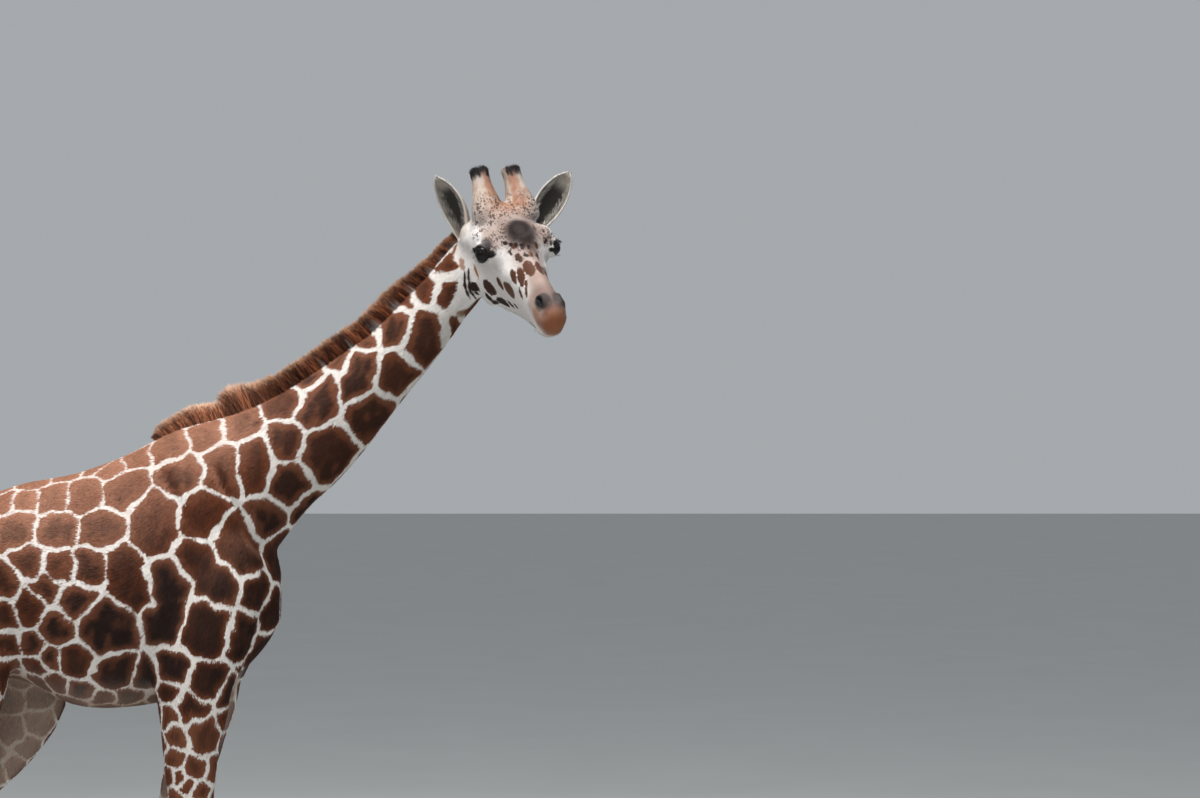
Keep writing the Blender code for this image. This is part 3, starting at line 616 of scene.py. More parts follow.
def along_path(points, path):
    """Each point's distance to a bent line, and how far along the line (0 to 1) it is nearest to."""
    path = np.array(path, float)
    best = np.full(len(points), np.inf)
    where = np.zeros(len(points))
    lengths = np.linalg.norm(np.diff(path, axis=0), axis=1)
    start = np.concatenate([[0], np.cumsum(lengths)])
    for k in range(len(path) - 1):
        step = path[k + 1] - path[k]
        t = np.clip(((points - path[k]) @ step) / (step @ step), 0, 1)
        distance = np.linalg.norm(points - path[k] - t[:, None] * step, axis=1)
        nearer = distance < best
        best[nearer] = distance[nearer]
        where[nearer] = ((start[k] + t * lengths[k]) / start[-1])[nearer]
    return best, where


def distances(forms, points):
    """How far points are from the surface of the forms."""
    corners, faces = [], []
    for form_points, form_faces in forms:
        faces += [tuple(int(v) + len(corners) for v in face) for face in form_faces]
        corners += [tuple(p) for p in form_points]
    tree = BVHTree.FromPolygons(corners, faces)
    return np.array([tree.find_nearest(p)[3] for p in points.tolist()])


# ---------------------------------------------------------------- the skin
# The body and the head are remeshed at their own fineness, and meet at a plane across the neck.
BODY_VOXEL, HEAD_VOXEL = 0.0100, 0.0034
SEAM_AT, SEAM_WAY = np.array((0.811, -0.047, 2.688)), unit((0.638, -0.136, 0.758))
BODY_COAT, HEAD_COAT = 0.0035, 0.0015  # how deep the coat is that lies over the skin
EYE_WAY = (0.50, 0.86, -0.05)
# The opening of the eye, in the eye's own plane: half length, reach up, reach down.
OPENING = (0.0280, 0.0235, 0.0180)
NOSTRIL_AT, NOSTRIL_WAY, NOSTRIL_OUT = (0.544, 0.038, 0.006), (0.97, -0.10, -0.22), (0.25, 0.80, 0.55)
NOSTRIL_SIZE = (0.018, 0.0075)
MOUTH = (
    (0.602, 0.000, -0.088), (0.590, 0.020, -0.094), (0.564, 0.035, -0.100),
    (0.520, 0.042, -0.101), (0.470, 0.047, -0.096), (0.425, 0.049, -0.088),
)


def eye_frame(side):
    """The eye's centre and its ways: to the nose, up, and out."""
    out = unit(flipped(EYE_WAY, side))
    nose = unit(np.cross(out, (0, 0, 1)))
    nose *= np.sign(nose[0])
    up = np.cross(nose, out)
    return flipped(EYE_AT, side), nose, up * np.sign(up[2]), out


def nostril_frame(side):
    """The nostril's middle and its ways: along its slit, across it, and out."""
    out = unit(flipped(NOSTRIL_OUT, side))
    way = flipped(NOSTRIL_WAY, side)
    way = unit(way - (way @ out) * out)
    return flipped(NOSTRIL_AT, side), way, np.cross(out, way) * side, out


def nostril_reach(points, side):
    """How far points are from the nostril's middle, over its size, seen from outside it."""
    centre, way, down, out = nostril_frame(side)
    q = points - centre
    reach = np.hypot((q @ way) / NOSTRIL_SIZE[0], (q @ down) / (NOSTRIL_SIZE[1] * 1.25))
    return reach + 50 * (np.linalg.norm(q, axis=1) > 0.035)


def opening(points, side):
    """How far inside the eye's opening points are, and their distance from its middle, across the eye's axis."""
    centre, nose, up, out = eye_frame(side)
    q = points - centre
    a, b, c = q @ nose, q @ up, q @ out
    b = b - 0.15 * a
    long, rise, fall = OPENING
    bow = np.sqrt(np.clip(1 - (a / long) ** 2, 0, 1))
    inside = np.minimum(rise * bow**0.8 - b, b + fall * bow**0.9)
    past = np.hypot(np.maximum(np.abs(a) - long, 0), b)
    return np.where(np.abs(a) > long, -past, inside), np.hypot(a, b), c


def head_sculpted(points, normals):
    """The head's skin in its own frame, with its lids, nostrils, mouth and folds."""
    for side in (LEFT, RIGHT):
        centre, nose, up, out = eye_frame(side)
        inside, spread, depth = opening(points, side)
        q = points - centre
        far = np.linalg.norm(q, axis=1)
        near = (far < 0.11) * smooth(-0.016, 0.004, depth)
        lid = 0.0035 + 0.0035 * smooth(-0.004, 0.004, q @ up)
        reach = EYE_RADIUS + np.where(inside > 0, -0.006 * smooth(0, 0.0035, inside), lid * smooth(0, 0.0022, -inside))
        # a crease over the upper lid, and a shallow one under the lower
        over = np.exp(-(((spread - 0.037) / 0.0032) ** 2))
        reach = reach - over * np.where(q @ up > 0, 0.0030, 0.0012)
        target = centre + q / np.maximum(far, 1e-6)[:, None] * reach[:, None]
        points = blended(points, target, near * (1 - smooth(0.036, 0.066, spread)))

        # a slit that bends down at its front, with a raised rim
        centre, way, down, out = nostril_frame(side)
        q = points - centre
        long, wide = q @ way, q @ down
        ring = np.hypot(long / NOSTRIL_SIZE[0], (wide - 9.0 * long**2) / NOSTRIL_SIZE[1])
        ring = np.where((np.linalg.norm(q, axis=1) < 0.05) & (normals @ out > 0.1), ring, 9)
        slit = -0.012 * (1 - smooth(0.30, 1.30, ring)) + 0.0028 * np.exp(-(((ring - 2.0) / 0.7) ** 2))
        points = points + out * slit[:, None]

        gap, at = along_path(points, flipped(MOUTH, side))
        groove = -0.0050 * np.exp(-((gap / 0.0042) ** 2)) * (1 - 0.6 * at)
        lips = 0.0016 * np.exp(-(((gap - 0.011) / 0.006) ** 2)) * (1 - at)
        points = points + normals * (groove + lips)[:, None]
    return points


def ringed(bm):
    """The open loop at the seam, as a list of vertices in order of their turn about its middle, and that turn."""
    rim = [v for v in bm.verts if v.is_boundary]
    middle = sum((v.co for v in rim), Vector()) / len(rim)
    across = Vector(SEAM_WAY).cross(Vector((0, 1, 0))).normalized()
    over = Vector(SEAM_WAY).cross(across).normalized()

    def turn(v):
        """How far round the loop a vertex is."""
        return math.atan2((v.co - middle).dot(over), (v.co - middle).dot(across))

    return sorted(rim, key=turn), turn


def zipped(name, lower, upper):
    """Joins two open skins along their rims with one band of triangles."""
    bm = bmesh.new()
    bm.from_mesh(lower.data)
    one, turn = ringed(bm)
    count = len(bm.verts)
    other = bmesh.new()
    other.from_mesh(upper.data)
    two = [v.index for v in ringed(other)[0]]
    other.free()
    bm.from_mesh(upper.data)
    bm.verts.ensure_lookup_table()
    two = sorted((bm.verts[count + k] for k in two), key=turn)
    i = j = 0
    while i < len(one) or j < len(two):
        a, b = one[i % len(one)], two[j % len(two)]
        next_a = turn(one[i + 1]) if i + 1 < len(one) else math.pi + (i - len(one) + 1)
        next_b = turn(two[j + 1]) if j + 1 < len(two) else math.pi + (j - len(two) + 1)
        if j >= len(two) or (i < len(one) and next_a < next_b):
            i += 1
            new = one[i % len(one)]
        else:
            j += 1
            new = two[j % len(two)]
        if new not in (a, b):
            bm.faces.new((a, b, new))
    return finished(name, bm)


def halved(obj, at, way):
    """Keeps what lies behind a plane, and leaves it open there."""

    def cut(bm):
        """Cuts the mesh at the plane."""
        parts = [*bm.verts, *bm.edges, *bm.faces]
        bmesh.ops.bisect_plane(bm, geom=parts, plane_co=Vector(at), plane_no=Vector(way), clear_outer=True)

    edited(obj, cut)


def refined_near(obj, places):
    """Divides the mesh once more near the places, each a centre and a radius."""

    def divide(bm):
        """Halves the edges that are near a place."""
        middles = [(e, (e.verts[0].co + e.verts[1].co) / 2) for e in bm.edges]
        chosen = [e for e, middle in middles if any((middle - at).length < reach for at, reach in places)]
        bmesh.ops.subdivide_edges(bm, edges=chosen, cuts=1, use_grid_fill=True)
        bmesh.ops.triangulate(bm, faces=[f for f in bm.faces if len(f.verts) > 4])

    edited(obj, divide)


# Muscles on both sides of the body: the two ends of each, its radius and how far it stands out.
MASSES = (
    ((0.050, 0.200, 1.980), (-0.010, 0.215, 1.640), 0.075, 0.006),  # shoulder
    ((-0.060, 0.215, 1.660), (-0.050, 0.195, 1.480), 0.050, 0.006),  # back of the upper arm
    ((0.110, 0.170, 1.760), (0.060, 0.190, 1.560), 0.050, 0.004),  # front of the shoulder
    ((0.130, 0.130, 2.220), (0.330, 0.100, 2.300), 0.055, 0.004),  # root of the neck
    ((-0.860, 0.150, 1.900), (-0.700, 0.200, 1.900), 0.070, 0.005),  # hip
    ((-0.800, 0.200, 1.760), (-0.760, 0.200, 1.480), 0.090, 0.006),  # thigh
    ((0.020, 0.180, 0.815), (0.030, 0.180, 0.780), 0.030, 0.002),  # knee
)
# Lines where the skin folds: points, half width and depth.
FOLDS = (
    (
        (
            (0.085, 0.140, 2.170), (0.113, 0.165, 2.091), (0.146, 0.170, 2.034),
            (0.194, 0.160, 1.937), (0.240, 0.120, 1.870), (0.262, 0.060, 1.830),
        ),
        0.011, 0.010,
    ),
    (
        (
            (-0.172, 0.260, 1.730), (-0.163, 0.260, 1.628), (-0.147, 0.255, 1.547),
            (-0.130, 0.240, 1.482), (-0.132, 0.215, 1.435),
        ),
        0.012, 0.012,
    ),
    (
        (
            (-0.581, 0.250, 1.940), (-0.577, 0.260, 1.831), (-0.569, 0.255, 1.669),
            (-0.556, 0.235, 1.560), (-0.530, 0.200, 1.480),
        ),
        0.013, 0.008,
    ),
)


def body_sculpted(points, normals):
    """The trunk, neck and legs with their muscles and folds."""
    rise = np.zeros(len(points))
    for side in (LEFT, RIGHT):
        on_side = smooth(-0.02, 0.02, points[:, 1] * side)
        for start, end, radius, height in MASSES:
            gap, _ = along_path(points, flipped((start, end), side))
            rise += on_side * height * np.exp(-((gap / radius) ** 2))
        for line, width, depth in FOLDS:
            gap, at = along_path(points * (1, 0.35, 1), np.array(line) * (1, 0.35 * side, 1))
            ends = smooth(0, 0.15, at) * (1 - 0.8 * smooth(0.85, 1.0, at))
            swell = depth * 0.35 * np.exp(-(((gap - 2.3 * width) / (1.6 * width)) ** 2))
            rise += on_side * ends * (swell - depth * np.exp(-((gap / width) ** 2)))
    return points + normals * rise[:, None]


def made_skin():
    """One skin for trunk, neck, head, horns, ears, legs and the root of the tail, in the body's frame."""
    forms = [in_body(form) for form in (*skull_forms(), horn_form(LEFT), horn_form(RIGHT))]
    head = mesh_object("head_skin", [*forms, neck_form(15)])
    remesh = ("REMESH", {"mode": "VOXEL", "voxel_size": HEAD_VOXEL})
    settled(head, remesh, ("SMOOTH", {"factor": 0.5, "iterations": round(26 * (0.006 / HEAD_VOXEL) ** 2)}))
    filled(head, 150)
    settled(head, ("SMOOTH", {"factor": 0.5, "iterations": 12}))
    for wide, narrow in ((0.058, 0.032), (0.044, 0.024)):
        places = []
        for side in (LEFT, RIGHT):
            for at, reach in ((np.array(EYE_AT) + np.array((0.010, 0.017, 0)), wide), (NOSTRIL_AT, narrow)):
                places.append((HEAD_TO_BODY @ Vector(flipped(at, side)), reach))
        refined_near(head, places)
    in_head = head_sculpted(moved(points_of(head), BODY_TO_HEAD), turned(normals_of(head), BODY_TO_HEAD))
    put_points(head, moved(in_head, HEAD_TO_BODY))
    points = points_of(head)
    from_seam = (points - SEAM_AT) @ SEAM_WAY
    coat = HEAD_COAT + (BODY_COAT + 0.0012 - HEAD_COAT) * (1 - smooth(0.0, 0.10, from_seam))
    put_points(head, points - normals_of(head) * coat[:, None])
    for side in (LEFT, RIGHT):
        ear = mesh_object("ear", [in_body(ear_form(side))])
        settled(head, ("BOOLEAN", {"object": ear, "operation": "UNION", "solver": "MANIFOLD"}))
        bpy.data.objects.remove(ear)
    halved(head, SEAM_AT + 0.004 * SEAM_WAY, -SEAM_WAY)

    body = mesh_object("body_skin", [stations_form(TRUNK), neck_form(), *legs_form(), limb(TAIL, LEFT)])
    remesh = ("REMESH", {"mode": "VOXEL", "voxel_size": BODY_VOXEL})
    settled(body, remesh, ("SMOOTH", {"factor": 0.5, "iterations": round(14 * (0.011 / BODY_VOXEL) ** 2)}))
    put_points(body, body_sculpted(points_of(body), normals_of(body)))
    put_points(body, points_of(body) - normals_of(body) * BODY_COAT)
    halved(body, SEAM_AT, SEAM_WAY)
    skin = zipped("skin", body, head)
    bpy.data.objects.remove(body)
    bpy.data.objects.remove(head)

    points = points_of(skin)
    # the legs end at the tops of the hooves
    slope = (TOE_HEIGHT - HEEL_HEIGHT) / (CORONET[1] - CORONET[0])
    for x, y, size in FEET.values():
        foot = (np.abs(points[:, 0] - x) < 0.14) & (np.abs(points[:, 1] - y) < 0.11) & (points[:, 2] < 0.2)
        middle = (HEEL_HEIGHT + TOE_HEIGHT) / 2 * size - 0.004
        level = middle + slope * (points[:, 0] - (x + sum(CORONET) / 2 * size))
        points[:, 2] = np.where(foot, np.maximum(points[:, 2], level), points[:, 2])
    put_points(skin, points)
    # the seam in the neck, and the roots of the ears
    weights = 1 - smooth(0.008, 0.040, np.abs((points - SEAM_AT) @ SEAM_WAY))
    weights *= np.linalg.norm(points - SEAM_AT, axis=1) < 0.2
    in_head = moved(points, BODY_TO_HEAD)
    for side in (LEFT, RIGHT):
        root = np.array(EAR_ROOTS[side]) * 0.93 + np.array(EAR_TIPS[side]) * 0.07
        weights = np.maximum(weights, 1 - smooth(0.018, 0.034, np.linalg.norm(in_head - root, axis=1)))
    soften(skin, weights, 16)
    # the top of each thigh runs into the rump
    points = points_of(skin)
    gap, _ = along_path(points * (1, 0.5, 1), ((-0.99, 0.0, 1.90), (-0.70, 0.0, 1.97), (-0.56, 0.0, 1.95)))
    soften(skin, 1 - smooth(0.05, 0.13, gap), 30)
    shown_round(skin)
    return skin


# ---------------------------------------------------------------- the markings
VIEW_FROM = np.array((1.302, -11.0, 2.362))  # where the portrait is seen from, in the body's frame

# Patches of the right side: x, z and half size of each; a patch that is long has a second x and z.
PATCHES = (
    (-0.605, 2.038, 0.036), (-0.539, 2.038, 0.040), (-0.443, 2.046, 0.054), (-0.350, 2.054, 0.061),
    (-0.260, 2.145, 0.044), (-0.184, 2.178, 0.044), (-0.070, 2.208, 0.058), (0.044, 2.243, 0.054),
    (0.158, 2.272, 0.060), (-0.561, 1.945, 0.058), (-0.437, 1.941, 0.064), (-0.289, 1.941, 0.066),
    (-0.212, 2.071, 0.070), (-0.126, 2.005, 0.072, -0.126, 1.930), (-0.045, 2.115, 0.070),
    (0.093, 2.170, 0.052, 0.097, 2.110), (0.198, 2.195, 0.056, 0.203, 2.120), (0.292, 2.235, 0.058),
    (0.298, 2.085, 0.068), (0.360, 2.020, 0.030), (0.036, 1.994, 0.078), (0.128, 1.930, 0.070, 0.170, 1.865),
    (0.232, 1.985, 0.064), (-0.524, 1.839, 0.046), (-0.429, 1.831, 0.050), (-0.321, 1.827, 0.062),
    (-0.225, 1.835, 0.068, -0.195, 1.765), (-0.085, 1.785, 0.068, -0.072, 1.650),
    (0.000, 1.850, 0.062, 0.080, 1.775), (0.211, 1.754, 0.054), (0.262, 1.690, 0.046), (-0.471, 1.758, 0.044),
    (-0.366, 1.709, 0.056), (-0.524, 1.693, 0.050), (-0.437, 1.636, 0.050), (-0.277, 1.636, 0.086),
    (0.032, 1.624, 0.086), (0.166, 1.596, 0.064), (0.205, 1.530, 0.040), (-0.060, 1.505, 0.054),
    (0.048, 1.458, 0.060), (-0.378, 1.523, 0.054), (-0.449, 1.527, 0.034), (-0.252, 1.485, 0.058),
    (-0.516, 1.579, 0.030), (-0.078, 1.425, 0.032), (-0.005, 1.372, 0.050), (0.109, 1.421, 0.044),
    (-0.078, 1.352, 0.028), (0.040, 1.290, 0.055), (-0.049, 1.279, 0.030), (-0.100, 1.263, 0.016),
    (-0.065, 1.214, 0.024), (0.008, 1.173, 0.032), (0.063, 1.175, 0.026), (-0.080, 1.160, 0.014),
    (-0.046, 1.156, 0.018), (-0.018, 1.128, 0.018), (0.026, 1.105, 0.028), (-0.358, 1.430, 0.034),
    (-0.443, 1.458, 0.032), (-0.289, 1.401, 0.034), (-0.215, 1.405, 0.038), (-0.496, 1.498, 0.030),
    (-0.608, 1.774, 0.050), (-0.600, 1.669, 0.046), (-0.597, 1.579, 0.044), (-0.602, 1.482, 0.046),
    (-0.597, 1.400, 0.040), (0.292, 2.345, 0.054), (0.388, 2.420, 0.038), (0.472, 2.484, 0.034, 0.562, 2.552),
    (0.606, 2.590, 0.032, 0.672, 2.662), (0.751, 2.721, 0.038), (0.805, 2.785, 0.032),
    (0.392, 2.325, 0.058, 0.420, 2.385), (0.515, 2.405, 0.058, 0.540, 2.465), (0.644, 2.600, 0.062),
    (0.816, 2.706, 0.044), (0.448, 2.192, 0.092), (0.570, 2.302, 0.084), (0.656, 2.440, 0.066),
    (0.740, 2.530, 0.060, 0.758, 2.580), (0.828, 2.594, 0.034),
)
# Patches that lie across the middle of the back: x and z.
BACK_PATCHES = (
    (-0.300, 2.155), (-0.400, 2.120), (-0.500, 2.108), (-0.620, 2.068), (-0.740, 2.038), (-0.860, 1.985),
    (-0.930, 1.930),
)
CORNER = 0.0022  # how round the corners of a patch are
THROAT_SPOT, THROAT_SPOT_SIZE = (0.868, -0.080, 2.642), (0.024, 0.030, 0.018)  # the brown spot under the throat
SPOT_DARK, SPOT_BROWN, SPOT_WARM = (0.024, 0.012, 0.009), (0.095, 0.036, 0.019), (0.34, 0.125, 0.05)
LUMP_AT, LUMP_SIZE = (0.238, -0.010, 0.145), (0.074, 0.056, 0.066)  # the dark lump of the forehead, in the head's frame
# Spots of the face, in the head's frame: place on its right, the way each is long, half length, half width, colour.
HEAD_SPOTS = (
    ((0.054, -0.098, -0.118), (0.9, 0, -0.42), 0.030, 0.0160, SPOT_DARK),
    ((0.156, -0.080, -0.084), (1.0, 0, -0.20), 0.043, 0.0225, (0.050, 0.022, 0.014)),
    ((0.236, -0.069, -0.044), (0.60, 0, -0.80), 0.025, 0.0165, SPOT_BROWN),
    ((0.297, -0.057, -0.044), (0.95, 0, -0.30), 0.036, 0.0260, (0.120, 0.055, 0.032)),
    ((0.328, -0.053, 0.009), (0.80, 0, -0.60), 0.027, 0.0135, SPOT_BROWN),
    ((0.364, -0.041, 0.020), (0.85, 0, -0.55), 0.038, 0.0175, SPOT_BROWN),
    ((0.372, -0.018, 0.049), (1.0, 0, -0.15), 0.040, 0.0180, SPOT_BROWN),
    ((0.306, -0.031, 0.062), (1.0, 0, -0.10), 0.024, 0.0105, (0.060, 0.030, 0.020)),
    ((0.269, -0.047, 0.066), (1.0, 0, -0.10), 0.013, 0.0055, SPOT_DARK),
    ((0.266, -0.029, 0.089), (1.0, 0.2, 0), 0.010, 0.0075, SPOT_DARK),
    ((0.232, -0.053, 0.087), (1.0, 0.2, 0), 0.012, 0.0060, SPOT_DARK),
    ((0.250, -0.042, 0.087), (1.0, 0.1, 0), 0.011, 0.0055, SPOT_DARK),
    ((0.283, -0.012, 0.090), (1.0, 0.2, 0), 0.016, 0.0090, SPOT_DARK),
    ((0.290, 0.006, 0.087), (1.0, 0.2, 0), 0.014, 0.0060, SPOT_DARK),
    ((0.256, 0.043, 0.080), (1.0, 0.1, 0), 0.016, 0.0070, SPOT_DARK),
    ((0.316, -0.011, 0.073), (1.0, 0.1, 0), 0.016, 0.0060, SPOT_DARK),
    ((0.178, 0.086, 0.098), (1.0, 0.2, 0), 0.010, 0.0050, SPOT_DARK),
    ((0.209, 0.086, 0.082), (1.0, 0.2, 0), 0.010, 0.0050, SPOT_DARK),
    ((0.405, -0.036, 0.012), (0.9, 0, -0.4), 0.020, 0.0070, SPOT_BROWN),
    ((0.141, -0.079, -0.122), (0.92, 0, -0.40), 0.026, 0.0120, SPOT_DARK),
    ((0.158, -0.060, -0.136), (0.90, 0, -0.40), 0.022, 0.0120, SPOT_DARK),
    ((0.108, -0.085, -0.150), (0.95, 0, -0.30), 0.028, 0.0080, SPOT_DARK),
    ((0.198, -0.046, -0.123), (0.98, 0, -0.15), 0.038, 0.0200, SPOT_DARK),
    ((0.264, -0.043, -0.112), (0.98, 0, -0.20), 0.030, 0.0125, SPOT_DARK),
    ((0.312, -0.042, -0.098), (0.98, 0, -0.10), 0.020, 0.0090, SPOT_DARK),
    ((0.385, -0.047, -0.026), (0.80, 0, -0.60), 0.022, 0.0085, SPOT_BROWN),
    ((0.424, -0.042, -0.006), (0.70, 0, -0.70), 0.020, 0.0085, SPOT_BROWN),
    ((0.262, 0.040, 0.081), (1.0, 0.1, 0), 0.020, 0.0110, SPOT_BROWN),
    ((0.320, 0.006, 0.073), (1.0, 0.1, 0), 0.018, 0.0070, SPOT_BROWN),
    ((0.218, 0.081, 0.075), (1.0, 0, 0.1), 0.012, 0.0065, SPOT_DARK),
    ((0.061, -0.095, -0.063), (0.73, 0, -0.69), 0.028, 0.0070, SPOT_WARM),
    ((0.010, -0.126, -0.050), (0.60, 0, -0.80), 0.024, 0.0100, (0.36, 0.23, 0.17)),
    ((-0.038, -0.150, -0.030), (0.23, -0.59, -0.78), 0.036, 0.0150, (0.200, 0.080, 0.042)),
)
# Thin dark lines behind the jaw, in the head's frame.
JAW_LINES = (
    (
        (0.028, -0.124, -0.068), (0.034, -0.125, -0.091), (0.039, -0.126, -0.113), (0.041, -0.123, -0.126),
        (0.042, -0.119, -0.140), (0.041, -0.106, -0.161),
    ),
    (
        (0.032, -0.112, -0.060), (0.038, -0.113, -0.080), (0.040, -0.113, -0.092), (0.044, -0.113, -0.104),
        (0.045, -0.109, -0.131), (0.042, -0.098, -0.148), (0.038, -0.088, -0.162),
    ),
    ((0.048, -0.102, -0.112), (0.050, -0.094, -0.134), (0.050, -0.082, -0.150), (0.052, -0.070, -0.160)),
)

WHITE, CREAM = (0.80, 0.76, 0.72), (0.60, 0.52, 0.42)
# the paler brown is what patches turn to where the coat faces up, as painted sheen, and where their tone is light
BROWN, PALE_AND_SHEEN_BROWN, DEEP = (0.128, 0.0345, 0.0120), (0.385, 0.180, 0.110), (0.0080, 0.0038, 0.0030)
# Colours laid over the face one after another: place, reach along each of the head's axes, colour, strength.
FACE_WASHES = (
    ((-0.070, 0.00, 0.060), (0.090, 0.150, 0.110), (0.40, 0.265, 0.195), 0.80),
    ((-0.040, 0.10, -0.060), (0.060, 0.060, 0.080), (0.50, 0.43, 0.37), 0.55),
    ((0.32, 0.00, 0.065), (0.22, 0.056, 0.060), (0.36, 0.275, 0.240), 0.90),
    ((0.14, 0.00, 0.150), (0.17, 0.105, 0.075), (0.310, 0.250, 0.228), 0.95),
    ((0.04, 0.00, 0.150), (0.11, 0.110, 0.075), (0.33, 0.200, 0.150), 0.85),
    ((0.290, 0.014, 0.100), (0.044, 0.034, 0.044), (0.10, 0.060, 0.048), 0.80),
    ((0.21, 0.045, 0.110), (0.080, 0.036, 0.050), (0.27, 0.175, 0.14), 0.60),
    ((0.185, 0.085, 0.102), (0.060, 0.034, 0.024), (0.30, 0.225, 0.190), 0.9),
    ((0.110, 0.075, 0.108), (0.060, 0.040, 0.028), (0.38, 0.310, 0.280), 0.7),
    ((0.430, 0.020, 0.025), (0.060, 0.034, 0.034), (0.30, 0.200, 0.160), 0.7),
    ((0.145, 0.126, 0.078), (0.030, 0.026, 0.026), (0.56, 0.55, 0.55), 0.9),
    ((0.225, 0.088, 0.082), (0.036, 0.030, 0.022), (0.27, 0.195, 0.165), 0.8),
    (LUMP_AT, LUMP_SIZE, (0.018, 0.011, 0.010), 1.0),
    ((0.245, 0.080, 0.020), (0.030, 0.030, 0.030), (0.50, 0.47, 0.45), 0.6),
    ((0.46, 0.00, 0.030), (0.085, 0.055, 0.050), (0.33, 0.235, 0.20), 0.85),
    ((0.50, 0.045, -0.020), (0.060, 0.030, 0.050), (0.32, 0.20, 0.15), 0.75),
    ((0.520, 0.00, 0.010), (0.080, 0.060, 0.040), (0.190, 0.125, 0.105), 0.9),
    ((0.592, 0.00, -0.015), (0.040, 0.070, 0.036), (0.200, 0.105, 0.074), 0.95),
    ((0.553, 0.026, 0.010), (0.046, 0.036, 0.030), (0.060, 0.045, 0.042), 0.90),
    ((0.540, 0.052, -0.050), (0.052, 0.026, 0.042), (0.30, 0.140, 0.080), 0.85),
    ((0.585, 0.00, -0.060), (0.056, 0.064, 0.052), (0.245, 0.090, 0.042), 1.0),
    ((0.600, 0.00, -0.095), (0.036, 0.060, 0.024), (0.22, 0.100, 0.058), 0.7),
    ((0.490, 0.00, -0.118), (0.100, 0.050, 0.020), (0.40, 0.31, 0.24), 0.9),
)
# Where the head's markings end behind the jaw, in the head's frame: z, x.
JAW_BOUND = ((-0.172, 0.036), (-0.128, 0.034), (-0.086, 0.026), (-0.057, 0.012), (-0.026, -0.030), (0.0, -0.052))


def waves(points, length, seed, count=7):
    """A smooth random field of about ±1 with features of that length."""
    rng = np.random.default_rng(seed)
    ways = unit(rng.normal(size=(count, 3))) * rng.uniform(0.7, 1.4, (count, 1)) * (2 * math.pi / length)
    return np.sin(points @ ways.T + rng.uniform(0, 2 * math.pi, count)).sum(1) / math.sqrt(count)


def spacing(points):
    """How far apart the patches are that no table lists."""
    x, y, z = points.T
    gap = np.full(len(points), 0.135)
    gap = np.where(x < -0.55, 0.115, gap)
    gap = np.minimum(gap, np.interp(z, (0.3, 0.8, 1.1, 1.35, 1.6), (0.040, 0.048, 0.062, 0.085, 0.135)))
    gap = np.where((z > 2.3) & (x > 0.2), 0.115, gap)
    gap = np.where((z < 1.5) & (np.abs(y) < 0.17) & (z > 1.3), 0.075, gap)
    return gap


def laid_seeds(skin, points, in_head):
    """The middles of all patches on the skin: places, half sizes, and which patch each belongs to."""
    bpy.context.view_layer.update()
    tree = BVHTree.FromObject(skin, bpy.context.evaluated_depsgraph_get())
    rng = np.random.default_rng(7)
    places, sizes, owners = [], [], []

    def lay(start, way, size, owner):
        """Adds the middle of a patch where a ray meets the skin."""
        hit = tree.ray_cast(Vector(start), Vector(way))
        if hit[0] is not None:
            places.append(np.array(hit[0]))
            sizes.append(size)
            owners.append(owner)

    for owner, (x, z, size, *more) in enumerate(PATCHES):
        nudge = rng.normal(size=2) * 0.018
        for at in ((x, z), *([more] if more else [])):
            target = np.array((at[0], 0.0, at[1]))
            lay(VIEW_FROM, unit(target - VIEW_FROM), size, owner)
            lay((at[0] + nudge[0], 2.0, at[1] + nudge[1]), (0, -1, 0), size, owner + 500)
    for k, (x, z) in enumerate(BACK_PATCHES):
        lay((x, rng.normal() * 0.02, 3.0), (0, 0, -1), 0.050, 1000 + k)
    fixed = len(places)

    gap = spacing(points)
    clear = np.full(len(points), np.inf)
    for place in places:
        clear = np.minimum(clear, np.linalg.norm(points - place, axis=1))
    clear = np.where(in_head | (points[:, 2] < 0.30), 0, clear)
    for k in rng.permutation(len(points)):
        if clear[k] > gap[k]:
            places.append(points[k])
            sizes.append(gap[k] * 0.5)
            owners.append(2000 + len(places))
            clear = np.minimum(clear, np.linalg.norm(points - points[k], axis=1))
    places, sizes, owners = np.array(places), np.array(sizes), np.array(owners)
    sample = points[~in_head][:: 1 if len(points) < 30000 else 3]
    for _ in range(3):  # the laid ones settle to the middles of their patches
        parts = np.array_split(sample, len(sample) // 2000 + 1)
        nearest = np.concatenate([((part[:, None] - places) ** 2).sum(2).argmin(1) for part in parts])
        free = (np.arange(len(places)) >= fixed) & (np.bincount(nearest, minlength=len(places)) > 3)
        places[free] = means(nearest, sample, len(places))[free]
    return places, sizes, owners


